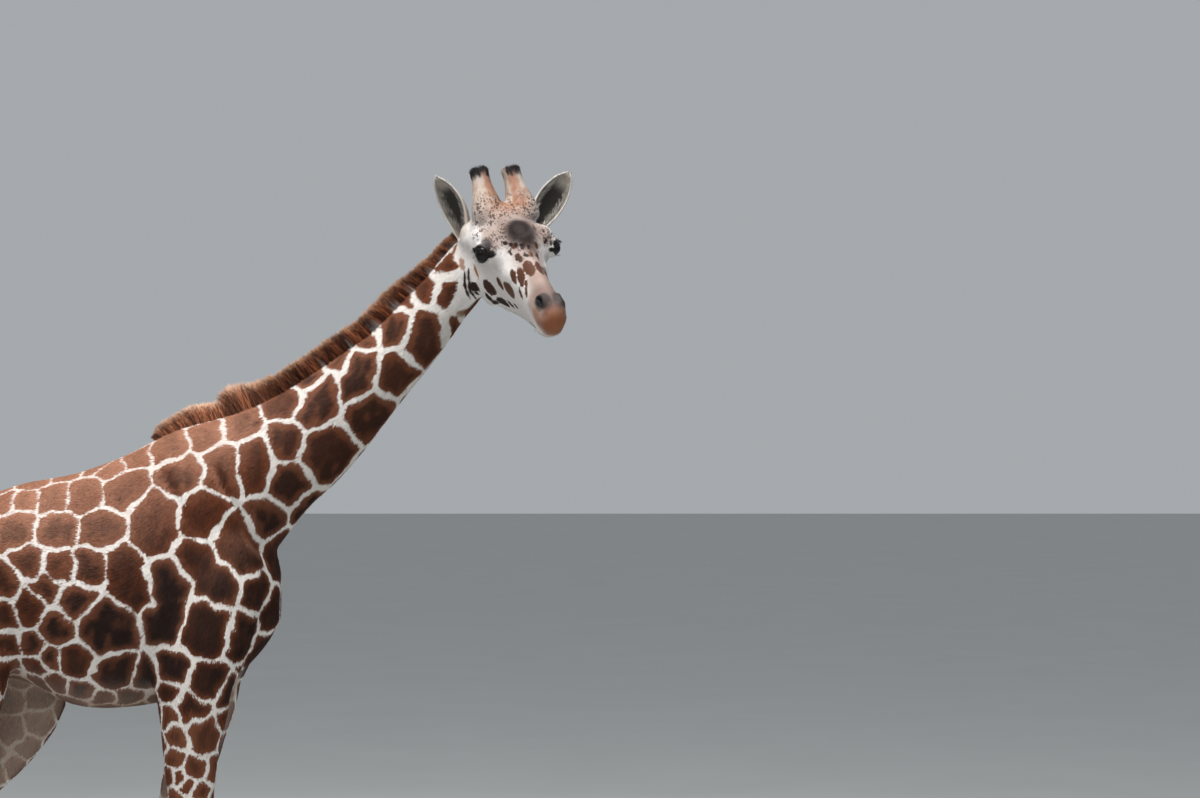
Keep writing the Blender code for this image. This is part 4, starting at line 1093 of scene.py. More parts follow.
class Markings:
    """What colours the coat: read at points of the skin, given their normals and how far they belong to the head."""

    def __init__(self, seeds):
        """Takes the patches' middles, half sizes and owners."""
        self.places, self.sizes, owners = seeds
        self.apart = np.linalg.norm(self.places[:, None] - self.places, axis=2) + 1e-6
        codes = {owner: k for k, owner in enumerate(dict.fromkeys(owners.tolist()))}
        self.code = np.array([codes[owner] for owner in owners.tolist()])
        self.tones = np.random.default_rng(11).uniform(-1, 1, len(codes))

    def cells(self, points):
        """The distance to the edge of the patch's cell, and the patch's tone."""
        p = points + 0.0050 * np.stack([waves(points, 0.075, k) for k in (1, 2, 3)], 1)
        p = p + 0.0014 * np.stack([waves(points, 0.017, k) for k in (4, 5, 6)], 1)
        places, sizes = self.places.astype(np.float32), self.sizes.astype(np.float32)
        edge, tone = np.empty(len(p)), np.empty(len(p))
        for part in np.array_split(np.arange(len(p)), len(p) // 3000 + 1):
            power = ((p[part].astype(np.float32)[:, None] - places) ** 2).sum(2) - sizes**2
            own = power.argmin(1)
            gap = (power - power[np.arange(len(part)), own][:, None]) / (2 * self.apart[own])
            gap[self.code[own][:, None] == self.code] = np.inf
            edge[part] = -CORNER * np.log(np.exp(-gap / CORNER).sum(1) + 1e-30)
            tone[part] = self.tones[self.code[own]]
        return edge, tone

    def read(self, points, normals, head):
        """How far inside a patch points are, the colours of patch and ground there, and how far they are speckled."""
        x, y, z = points.T
        up = normals[:, 2]
        edge, tone = self.cells(points)
        neck = smooth(0.10, 0.30, x) * smooth(2.05, 2.25, z + 0.3 * x)
        on_leg = 1 - smooth(1.30, 1.50, z)
        # half width of the pale lines
        half = 0.0064 + 0.0014 * smooth(-0.20, 0.10, x) + 0.0006 * neck + 0.0062 * smooth(0.56, 0.86, x) * neck
        half = half - 0.0016 * smooth(0.35, 0.85, up) * (1 - neck) - 0.0016 * on_leg * smooth(0.9, 1.2, z)
        half = half * (1 + 0.24 * waves(points, 0.11, 21) + 0.14 * waves(points, 0.04, 22))
        edge = edge - half - (1 - smooth(0.45, 0.85, z)) * 0.010

        # colour of the patches: paler, with fainter dark cores, where the coat faces up, a painted sheen of light from
        # above; paler also by their random tone and near their edges
        top = smooth(0.10, 0.80, up) * (1 - 0.6 * neck) * (1 - on_leg)
        light = 0.10 + 0.62 * top + 0.10 * tone + 0.04 * waves(points, 0.30, 31)
        paint = blended(BROWN, PALE_AND_SHEEN_BROWN, np.clip(light + 0.10 * (1 - smooth(0.0, 0.012, edge)), 0, 1))
        low = 1 - smooth(1.66, 2.12, z - 0.25 * np.maximum(x, 0))
        front = smooth(-0.45, -0.05, x)
        strength = np.clip(0.50 + 0.50 * low * (0.45 + 0.55 * front) + 0.20 * tone + 0.20 * neck, 0.1, 0.97)
        strength = strength * (1 - 0.62 * top) * (1 - 0.50 * on_leg)
        cloud = waves(points * (1, 1, 0.55), 0.055, 41) * 0.32 + waves(points * (1, 1, 0.4), 0.022, 42) * 0.14
        core = smooth(0.002, 0.050 - 0.018 * neck - 0.018 * low, edge) * 1.05 + cloud * smooth(0.004, 0.03, edge)
        core = smooth(0.10, 1.0, core) * strength
        core = np.maximum(core, (0.84 + 0.12 * tone) * low * front * smooth(0.0, 0.02, edge) * (on_leg < 0.6))
        paint = blended(paint, DEEP, np.clip(core, 0, 0.94))

        # colour of the ground
        ground = np.tile(WHITE, (len(points), 1))
        ground = blended(ground, CREAM, (1 - smooth(0.5, 1.3, z)) * 0.8)
        ground = blended(ground, (0.50, 0.37, 0.31), 0.45 * top)
        # the underside of the neck: painted shade, with a greenish cast of light thrown up from below
        ground = blended(ground, (0.55, 0.50, 0.40), 0.5 * (smooth(0.35, 0.9, -up) * neck))
        from_spot = np.linalg.norm((points - THROAT_SPOT) / THROAT_SPOT_SIZE, axis=1)
        ground = blended(ground, (0.24, 0.115, 0.045), 0.9 * (1 - smooth(0.6, 1.1, from_spot)))
        # the belly, the groin and the insides of the legs: a darker tan ground, painted shade under the body and
        # between the legs, and fainter patches
        belly = smooth(0.50, 1.0, -up) * (1 - smooth(1.45, 1.62, z)) * smooth(1.30, 1.36, z) * (x < 0.0)
        inner = smooth(0.15, 0.75, -normals[:, 1] * np.sign(y)) * (1 - smooth(1.45, 1.60, z)) * (np.abs(y) < 0.22)
        groin = smooth(0.1, 0.9, inner + belly)
        ground = blended(ground, (0.275, 0.165, 0.080), 0.80 * np.maximum(belly, groin * 0.8))
        paint = blended(paint, (0.13, 0.070, 0.042), 0.40 * belly)
        fade = 0.20 * belly + 0.50 * inner + 0.75 * (1 - smooth(0.35, 0.80, z))
        paint = blended(paint, ground, np.clip(fade, 0, 0.93))
        ground = blended(ground, (0.45, 0.36, 0.27), 0.5 * (1 - smooth(0.12, 0.30, z)))

        speckle = np.zeros(len(points))
        face = head > 0.02
        if face.any():
            h = moved(points, BODY_TO_HEAD)[face]
            base, spot, tint, ears_on = face_markings(h, turned(normals[face], BODY_TO_HEAD))
            share = smooth(0.35, 0.65, head[face])
            ground[face] = blended(ground[face], base, share)
            body_edge = np.minimum(edge[face], 0.03) - 0.09 * share
            paint[face] = np.where((spot > body_edge)[:, None], tint, paint[face])
            edge[face] = np.maximum(spot, body_edge)
            # the forehead is speckled, but not on its dark lump
            from_lump = np.linalg.norm((h - LUMP_AT) / LUMP_SIZE, axis=1)
            brow = smooth(0.045, 0.080, h[:, 2]) * smooth(-0.02, 0.06, h[:, 0]) * (1 - smooth(0.31, 0.40, h[:, 0]))
            brow = brow * (1 - smooth(0.165, 0.205, h[:, 2])) * (1 - ears_on) * head[face]
            speckle[face] = brow * smooth(0.45, 1.0, from_lump)
        return {"edge": edge, "speckle": speckle, "paint": np.clip(paint, 0, 1), "ground": np.clip(ground, 0, 1)}


def face_markings(h, ways):
    """At places and ways in the head's frame: ground colour, how far inside a spot, its colour, share of an ear."""
    base = np.tile((0.74, 0.71, 0.69), (len(h), 1))
    both_sides = np.stack([h[:, 0], np.abs(h[:, 1]), h[:, 2]], 1)
    for at, reach, colour, force in FACE_WASHES:
        q = both_sides if at[1] > 0.02 else h
        far = np.linalg.norm((q - at) / np.array(reach), axis=1)
        base = blended(base, colour, force * (1 - smooth(0.45, 1.25, far)))

    spot = np.full(len(h), -0.05)
    tint = np.tile(SPOT_DARK, (len(h), 1))
    ragged = 0.0018 * waves(h, 0.014, 61)
    for at, way, long, wide, colour in HEAD_SPOTS:
        way = unit(way)
        for flip, slid in ((1, (0, 0, 0)), (-1, (0.012, 0, 0.006))):
            q = h * (1, flip, 1) - np.array(at) - slid
            along = q @ way
            off = np.linalg.norm(q - along[:, None] * way, axis=1) + ragged
            inside = (1 - np.hypot(along / long, off / wide)) * wide
            inside = np.where(np.linalg.norm(q, axis=1) < 0.06, inside, -0.05)
            tint[inside > spot] = colour
            spot = np.maximum(spot, inside)
    for line in JAW_LINES:
        for flip in (1, -1):
            gap, at = along_path(h * (1, flip, 1), line)
            inside = 0.0044 * (1 - np.abs(2 * at - 1) ** 4 * 0.6) * (1 + 0.25 * waves(h, 0.03, 66)) - gap
            tint[inside > spot] = SPOT_DARK
            spot = np.maximum(spot, inside)

    for side in (LEFT, RIGHT):
        # horns: rust in front, pale outside, black knobs
        along, up_horn, off, away = about_horn(h, side)
        lit = 1 - smooth(-0.25, 0.75, ways @ np.array((0.10, side, 0.1)))
        lit = np.clip(lit + 0.30 * waves(h * (1, 1, 0.4), 0.022, 65), 0, 1)
        horn = blended((0.48, 0.40, 0.34), (0.31, 0.145, 0.084), lit)
        base = blended(base, horn, 0.9 * ((off < 0.085) * smooth(-0.05, 0.35, up_horn)))
        fore = smooth(0.3, 0.95, ways @ horn_axes(side)[4])
        knob = (off < 0.06) * smooth(0.72, 0.82, up_horn - 0.04 * fore + 0.03 * waves(h, 0.02, 63))
        base = blended(base, (0.014, 0.011, 0.012), knob)
        # the dark skin of the lids, drawn out at both corners, and painted shade in a fold above them; less of both on
        # the far eye
        slim = 1.0 if side == RIGHT else 0.5
        inside, spread, depth = opening(h, side)
        ring = (depth > -0.02) * (spread < 0.07)
        centre, nose, above, out = eye_frame(side)
        ahead, over = (h - centre) @ nose, (h - centre) @ above
        wedge = 0.010 * smooth(0.4, 1.0, ahead / 0.030) * (1 - smooth(0.0, 0.012, np.abs(over - 0.002)))
        wedge = wedge + 0.016 * smooth(0.5, 1.0, -ahead / 0.030) * (1 - smooth(0.0, 0.013, np.abs(over - 0.006)))
        wedge = wedge + 0.006 * smooth(0.0, 0.6, ahead / 0.030) * smooth(0.2, 0.8, over / 0.012)
        dark = ring * (1 - smooth(0.0045 * slim, 0.0120 * slim, -inside - wedge * slim))
        base = blended(base, (0.012, 0.011, 0.012), np.clip(dark, 0, 1))
        # painted shade in the fold above the upper lid
        q = h - centre - nose * 0.006 - above * 0.036
        fold = 1 - smooth(0.5, 1.3, np.hypot((q @ nose + 0.5 * (q @ above)) / 0.020, (q @ above) / 0.011))
        base = blended(base, (0.045, 0.040, 0.045), 0.90 * slim * fold * ring)
        # the nostrils
        reach = nostril_reach(h, side)
        base = blended(base, (0.050, 0.037, 0.034), 0.90 * (1 - smooth(1.8, 3.8, reach)))
        rim = np.exp(-(((reach - 2.30) / 0.30) ** 2)) * smooth(-0.4, 0.6, -(h[:, 2] - NOSTRIL_AT[2]) / 0.010)
        base = blended(base, (0.27, 0.20, 0.175), 0.6 * rim)
        # the slit itself painted near-black: painted shade in its hollow
        base = blended(base, (0.005, 0.004, 0.004), 1 - smooth(1.25, 1.85, reach))

    ears_on, in_ear, at_ear, to_edge = ear_places(h, ways)
    ear = blended((0.50, 0.43, 0.37), (0.34, 0.31, 0.27), in_ear)
    dark = in_ear * (1 - smooth(0.42, 0.80, to_edge + 0.12 * waves(h, 0.03, 64)))
    dark = dark * smooth(0.04, 0.14, at_ear) * (1 - smooth(0.72, 0.88, at_ear))
    ear = blended(ear, (0.020, 0.017, 0.015), 0.94 * dark)
    ear = blended(ear, (0.66, 0.62, 0.57), 0.85 * smooth(0.80, 0.95, to_edge) * smooth(0.06, 0.2, at_ear))
    return blended(base, ear, ears_on), spot - 0.05 * ears_on, tint, ears_on


def ear_places(points, normals):
    """At places and ways in the head's frame: whether on an ear, and in its cup, how far up, how near its edge."""
    on, inner, height, edge = np.zeros((4, len(points)))
    ups, halves, depths, angles = np.array(EAR).T
    for side in (LEFT, RIGHT):
        foot, tip, way, across, opens = ear_axes(side)
        q = points - foot
        at = q @ way / np.linalg.norm(tip - foot)
        half = np.interp(at, ups, halves)
        out = q @ across
        deep = q @ opens + EAR_CURL * np.sin(math.pi * np.clip(at, 0, 1))
        here = (at > 0.03) & (at < 1.1) & (np.abs(out) < half + 0.012) & (deep > -0.045) & (deep < 0.035)
        share = (here & (points[:, 1] * side > 0.05)) * smooth(0.05, 0.16, at)
        turn = np.degrees(np.arctan2(out / half, -deep / np.interp(at, ups, depths)))
        near = np.abs(turn) / np.interp(at, ups, angles)
        turn = np.radians(turn)
        into = smooth(-0.1, 0.25, -(normals @ across) * np.sin(turn) + (normals @ opens) * np.cos(turn))
        fresh = share > on
        on, inner = np.where(fresh, share, on), np.where(fresh, into, inner)
        height = np.where(fresh, at, height)
        edge = np.where(fresh, np.maximum(near, smooth(0.86, 1.0, at)), edge)
    return on, inner, height, edge


def put_values(mesh, name, values):
    """Writes one number or one colour for each vertex."""
    if values.ndim == 1:
        mesh.attributes.new(name, "FLOAT", "POINT").data.foreach_set("value", values.astype(np.float32))
    else:
        rgba = np.concatenate([values, np.ones((len(values), 1))], 1)
        mesh.attributes.new(name, "FLOAT_COLOR", "POINT").data.foreach_set("color", rgba.astype(np.float32).ravel())


# ---------------------------------------------------------------- materials
class Nodes:
    """A small way to write a node tree down."""

    def __init__(self, name):
        """A new material, still with only its shader."""
        self.material = bpy.data.materials.new(name)
        self.material.use_nodes = True
        self.tree = self.material.node_tree
        self.shader = self.tree.nodes["Principled BSDF"]

    def node(self, kind, settings=(), **inputs):
        """A node of that kind. An input is given by its name, or by i and its number."""
        node = self.tree.nodes.new("ShaderNode" + kind)
        for key, value in dict(settings).items():
            setattr(node, key, value)
        for key, value in inputs.items():
            self.feed(node.inputs[int(key[1:])] if key[0] == "i" and key[1:].isdigit() else node.inputs[key], value)
        return node

    def feed(self, socket, value):
        """Links another socket to an input, or sets its value."""
        if isinstance(value, bpy.types.NodeSocket):
            self.tree.links.new(value, socket)
        elif socket.type == "RGBA" and len(value) == 3:
            socket.default_value = (*value, 1)
        else:
            socket.default_value = value

    def attribute(self, name, colour=False):
        """A value or colour that the mesh carries."""
        return self.node("Attribute", {"attribute_name": name}).outputs["Color" if colour else "Fac"]

    def math(self, kind, a, b=0.0, c=0.0):
        """What a calculation gives."""
        return self.node("Math", {"operation": kind}, i0=a, i1=b, i2=c).outputs[0]

    def blend(self, share, a, b, kind="MIX"):
        """One colour over another by a share."""
        settings = {"data_type": "RGBA", "blend_type": kind, "clamp_factor": True}
        return self.node("Mix", settings, i0=share, i6=a, i7=b).outputs[2]

    def step(self, value, low, high, to_low=0.0, to_high=1.0):
        """A value turned smoothly from one range into another."""
        node = self.node("MapRange", {"interpolation_type": "SMOOTHSTEP"})
        for socket, given in zip(node.inputs[:5], (value, low, high, to_low, to_high)):
            self.feed(socket, given)
        return node.outputs[0]

    def place(self):
        """The place in the object's own frame."""
        return self.node("TexCoord").outputs["Object"]

    def turned(self, vector, turn, scale, at=(0, 0, 0)):
        """The place in a frame with that turn, then stretched."""
        frame_node = self.node("Mapping", {"vector_type": "TEXTURE"}, Vector=vector, Location=at, Rotation=turn)
        return self.node("Mapping", Vector=frame_node.outputs[0], Scale=scale).outputs[0]

    def noise(self, vector, scale, detail=2.0, rough=0.5):
        """Cloudy noise."""
        return self.node("TexNoise", Vector=vector, Scale=scale, Detail=detail, Roughness=rough).outputs["Fac"]

    def bump(self, height, distance, strength):
        """Normals that a height raises."""
        return self.node("Bump", Height=height, Distance=distance, Strength=strength).outputs[0]

    def put(self, **inputs):
        """Feeds inputs of the shader and gives the material."""
        for key, value in inputs.items():
            self.feed(self.shader.inputs[key.replace("_", " ")], value)
        return self.material


def coat_material():
    """Skin and tufts alike: patches on a pale ground, with the lie of short hair."""
    n = Nodes("coat")
    place = n.place()
    edge, speckle = n.attribute("edge"), n.attribute("speckle")
    ground, paint = n.attribute("ground", True), n.attribute("paint", True)
    tone = n.math("MULTIPLY_ADD", n.attribute("tone"), 0.13, 1.0)
    neck, leg, head = n.attribute("on_neck"), n.attribute("on_leg"), n.attribute("on_head")

    def lay(scale, fine):
        """Noise drawn out along the hair, each region with its own lie."""
        along, on_head = (scale * fine, scale, scale), (scale * 1.3 * fine, scale * 1.3, scale * 1.3)
        out = n.noise(n.turned(place, (0, math.radians(18), 0), along), 1.0)
        for share, turn, stretch, at in (
            (neck, (0, math.radians(-47), 0), along, (0, 0, 0)),
            (leg, (0, 0, 0), along[::-1], (0, 0, 0)),
            (head, HEAD_TURN, on_head, HEAD_PLACE),
        ):
            other = n.noise(n.turned(place, turn, stretch, at), 1.0)
            out = n.node("Mix", {"data_type": "FLOAT"}, i0=share, i2=out, i3=other).outputs[0]
        return out

    hair, locks = lay(950.0, 0.16), lay(230.0, 0.22)
    # the edge of a patch is drawn by single hairs
    ragged = n.math("MULTIPLY_ADD", n.math("SUBTRACT", hair, 0.5), 0.0075, edge)
    ragged = n.math("MULTIPLY_ADD", n.math("SUBTRACT", locks, 0.5), 0.0060, ragged)
    mask = n.step(ragged, -0.0010, 0.0010)
    # speckles of the forehead
    in_head = n.turned(place, HEAD_TURN, (62.0, 135.0, 110.0), HEAD_PLACE)
    wander = n.node("TexNoise", Vector=in_head, Scale=1.1).outputs["Color"]
    bent = n.node("VectorMath", {"operation": "ADD"}, i0=in_head, i1=wander).outputs[0]
    dots = n.node("TexVoronoi", {"feature": "F1"}, Vector=bent, Scale=1.05, Randomness=1.0).outputs["Distance"]
    reach = n.step(n.noise(in_head, 0.30), 0.36, 0.64, 0.24, 0.52)
    dotted = n.math("MULTIPLY", n.step(n.math("SUBTRACT", reach, dots), -0.03, 0.05), speckle)
    ground = n.blend(n.math("MULTIPLY", dotted, 0.86), ground, (0.055, 0.033, 0.026))
    fine = n.math("MULTIPLY", n.math("MULTIPLY", n.step(hair, 0.48, 0.62), speckle), 0.45)
    ground = n.blend(fine, ground, (0.14, 0.095, 0.08))

    tinted = n.blend(mask, ground, paint)
    for share, dark, light in (
        (hair, (0.80, 0.80, 0.80), (1.20, 1.19, 1.18)),
        (locks, (0.86, 0.85, 0.85), (1.14, 1.14, 1.14)),
        (n.noise(place, 14.0, 4.0, 0.6), (0.90, 0.88, 0.87), (1.10, 1.11, 1.12)),
    ):
        tinted = n.blend(1.0, tinted, n.blend(share, dark, light), "MULTIPLY")
    tinted = n.blend(1.0, tinted, n.node("CombineXYZ", i0=tone, i1=tone, i2=tone).outputs[0], "MULTIPLY")
    height = n.math("MULTIPLY_ADD", locks, 0.7, hair)
    n.put(Base_Color=tinted, Roughness=n.step(hair, 0.3, 0.7, 0.62, 0.50), Normal=n.bump(height, 0.0009, 0.55))
    return n.put(Specular_IOR_Level=0.16, Sheen_Weight=0.015, Sheen_Roughness=0.45)


def hair_material(name, rough):
    """Long hair that is coloured by its own attribute."""
    n = Nodes(name)
    streak = n.noise(n.turned(n.place(), (0, math.radians(-40), 0), (420.0, 420.0, 60.0)), 1.0)
    streaked = n.blend(streak, (0.78, 0.78, 0.78), (1.22, 1.22, 1.22))
    colour = n.blend(1.0, n.attribute("paint", True), streaked, "MULTIPLY")
    return n.put(Base_Color=colour, Roughness=rough, Normal=n.bump(streak, 0.0006, 0.4), Specular_IOR_Level=0.14)


def eye_material():
    """A wet dark eye."""
    n = Nodes("eye")
    return n.put(Base_Color=n.attribute("paint", True), Roughness=0.08, Specular_IOR_Level=0.22)


def hoof_material():
    """Dark horn with fine level ridges."""
    n = Nodes("hoof")
    place = n.place()
    ridges = n.noise(n.turned(place, (0, 0, 0), (9.0, 9.0, 330.0)), 1.0)
    colour = n.blend(n.noise(place, 26.0, 4.0), (0.030, 0.026, 0.023), (0.095, 0.080, 0.066))
    colour = n.blend(1.0, colour, n.blend(ridges, (0.75, 0.75, 0.75), (1.2, 1.2, 1.2)), "MULTIPLY")
    return n.put(Base_Color=colour, Roughness=n.step(ridges, 0.3, 0.7, 0.50, 0.38), Normal=n.bump(ridges, 0.0007, 0.5))


# ---------------------------------------------------------------- the coat
LOCK_SHAPE = np.array(((-0.5, -0.15), (0.5, -0.15), (0.0, 0.42)))  # a lock's section: across it, and up from the skin
PATCH = 0.003  # the width of each lock's place on its map


def locks(name, curves, side, top, wide, taper, uv, values, material, normals=None):
    """Three-sided locks along the curves, in one object, with colours, and a map that keeps each lock in its place."""
    count, rings = len(curves), curves.shape[1] - 1
    rows = []
    for k in range(rings):
        size = (wide * taper[k])[:, None, None]
        offset = size * (LOCK_SHAPE[None, :, :1] * side[:, None] + LOCK_SHAPE[None, :, 1:] * top[:, None])
        rows.append(curves[:, k][:, None] + offset)
    points = np.concatenate([*rows, curves[:, -1:]], axis=1)
    each = 3 * rings + 1
    faces = []
    for low in range(0, 3 * rings - 3, 3):
        for a in range(3):
            b, high = (a + 1) % 3, low + 3
            faces += [(low + a, low + b, high + b), (low + a, high + b, high + a)]
    last = 3 * rings - 3
    faces = np.array(faces + [(last + a, last + (a + 1) % 3, last + 3) for a in range(3)])
    corners = (faces[None] + (np.arange(count) * each)[:, None, None]).reshape(-1)

    mesh = bpy.data.meshes.new(name)
    mesh.vertices.add(count * each)
    mesh.vertices.foreach_set("co", (points + SHIFT).astype(np.float32).ravel())
    mesh.loops.add(len(corners))
    mesh.loops.foreach_set("vertex_index", corners.astype(np.int32))
    mesh.polygons.add(len(corners) // 3)
    mesh.polygons.foreach_set("loop_start", np.arange(0, len(corners), 3, dtype=np.int32))
    mesh.update(calc_edges=True)
    mesh.polygons.foreach_set("use_smooth", np.ones(len(corners) // 3, bool))
    spread = np.array([(a / 2, k / rings) for k in range(rings) for a in range(3)] + [(0.5, 1.0)]) * PATCH
    layer = mesh.uv_layers.new(name="OFBake")
    places = np.clip(uv, 0.001, 0.9965)[:, None, None] + spread[faces][None]
    layer.uv.foreach_set("vector", places.astype(np.float32).ravel())
    for key, value in values.items():
        if value.ndim < 3:  # one for the whole lock
            value = np.repeat(value, each, axis=0)
        put_values(mesh, key, value if value.ndim == 1 else value.reshape(-1, 3))
    if normals is not None:
        mesh.normals_split_custom_set_from_vertices(np.repeat(normals, each, axis=0).astype(np.float32))
    mesh.materials.append(material)
    return linked(name, mesh)


def rooted(points, normals, triangles, weights, count, rng):
    """Places spread over the triangles by area and weight: place, normal, and a reader of values given for vertices."""
    a, b, c = points[triangles].transpose(1, 0, 2)
    area = np.linalg.norm(np.cross(b - a, c - a), axis=1) * weights[triangles].mean(1)
    run = np.cumsum(area)
    picked = np.searchsorted(run, (np.arange(count) + rng.random(count)) / count * run[-1])
    picked = triangles[np.minimum(picked, len(triangles) - 1)]
    s, t = rng.random((2, count))
    flip = s + t > 1
    s, t = np.where(flip, 1 - s, s), np.where(flip, 1 - t, t)
    share = np.stack([1 - s - t, s, t], 1)

    def read(values):
        """What the vertices have, at the places."""
        return np.einsum("ij,ij...->i...", share, values[picked])

    return read(points), unit(read(normals)), read


def lie(points, normals, head, neck, leg, rng):
    """Which way the hair lies."""
    x, y, z = points.T
    ways = np.tile((-0.95, 0.0, -0.34), (len(points), 1))
    ways = blended(ways, (-0.45, 0, -0.95), smooth(-0.35, 0.05, x) * (1 - smooth(2.0, 2.25, z)))  # shoulder
    ways = blended(ways, (-0.35, 0, -0.95), smooth(0.65, 0.88, -x) * (1 - smooth(1.9, 2.02, z)))  # rump
    ways = blended(ways, (-0.74, 0, -0.68), neck)
    ways = blended(ways, (-0.10, 0, -1.0), leg)
    h = moved(points, BODY_TO_HEAD)
    in_head = np.tile((-1.0, 0.0, -0.12), (len(points), 1))
    in_head[:, 1] += np.sign(h[:, 1]) * 0.25
    for side in (LEFT, RIGHT):
        # up the horns, and outwards at their knobs
        along, up_horn, off, away = about_horn(h, side)
        on = smooth(0.02, 0.06, along) * (off < 0.085) * (np.linalg.norm(h, axis=1) < 0.4)
        in_head = blended(in_head, horn_axes(side)[2], on)
        flare = smooth(0.74, 0.84, up_horn) * (off < 0.06) * on
        in_head += unit(away + 1e-6) * (0.9 * flare)[:, None]
        in_head[on_ear(h, side, 0.015)] = ear_axes(side)[2]
        # the hair turns round the eye
        centre, nose, up, out = eye_frame(side)
        q = h - centre
        round_eye = (1 - smooth(0.034, 0.060, np.linalg.norm(q, axis=1))) * (q @ out > 0)
        in_head = blended(in_head, unit(q - (q @ out)[:, None] * out), 0.55 * round_eye)
    ways = unit(blended(ways, turned(in_head, HEAD_TO_BODY), head))
    swirl = 0.16 * waves(points, 0.14, 81) + 0.22 * rng.normal(size=len(points))
    ways = unit(ways - normals * (ways * normals).sum(1)[:, None] + 1e-6)
    return unit(ways + np.cross(normals, ways) * swirl[:, None])


def neck_place(points):
    """How far up the neck, and how far round it."""
    table = np.array(NECK)
    middle = np.stack([(table[:, 0] + table[:, 2]) / 2, table[:, 4], (table[:, 1] + table[:, 3]) / 2], 1)
    along = unit(middle[-1] - middle[0])
    long = np.linalg.norm(middle[-1] - middle[0])
    at = (points - middle[0]) @ along / long
    q = points - (middle[0] + along * (at * long)[:, None])
    up = -unit(np.cross((0, 1, 0), along))
    return at, turn_share(q @ np.array((0, 1, 0)), q @ up)


def unwrapped(points, part):
    """The place of a root on the map of its part: along the part's own bone, and round it."""
    x, y, z = points.T
    if part == "head":
        h = moved(points, BODY_TO_HEAD)
        uv = np.stack([turn_share(h[:, 1], -(h[:, 2] + 0.03)) * 0.66, (h[:, 0] + 0.14) / 0.78], 1)
        for k, side in enumerate((LEFT, RIGHT)):
            foot, tip, way, across, opens = ear_axes(side)
            q, long = h - foot, np.linalg.norm(tip - foot)
            on = on_ear(h, side, 0.03 * long)
            turn = turn_share(q @ across, q @ opens - 0.02)
            uv[on] = np.stack([0.68 + 0.08 * k + 0.075 * turn, q @ way / long / 1.1], 1)[on]
            along, up_horn, off, away = about_horn(h, side)
            on = (up_horn > 0.25) & (off < 0.07)
            across, ahead = horn_axes(side)[3:]
            turn = turn_share(away @ across, away @ ahead)
            uv[on] = np.stack([0.84 + 0.08 * k + 0.075 * turn, up_horn / 1.25], 1)[on]
        return uv
    if part == "neck":
        at, turn = neck_place(points)
        return np.stack([turn, (at + 0.15) / 1.3], 1)
    if part in ("fore", "hind"):
        rows, shift = (FORELEG, LEFT_FORE_SHIFT) if part == "fore" else (HINDLEG, LEFT_HIND_SHIFT)
        middle, heights, out = np.array(rows)[::-1, :3].T
        levels, moves = np.array(shift)[::-1].T
        uv = np.zeros((len(points), 2))
        for side in (RIGHT, LEFT):
            ahead = x - np.interp(z, heights, middle) - (np.interp(z, levels, moves) if side == LEFT else 0)
            turn = turn_share(y - side * np.interp(z, heights, out), ahead)
            here = y * side > 0
            uv[here] = np.stack([turn * 0.49 + (0.505 if side == LEFT else 0.0), z / 1.75], 1)[here]
        return uv
    return np.stack([(x + 1.08) / 1.50, np.arctan2(np.abs(y), -(z - 1.75)) / math.pi], 1)


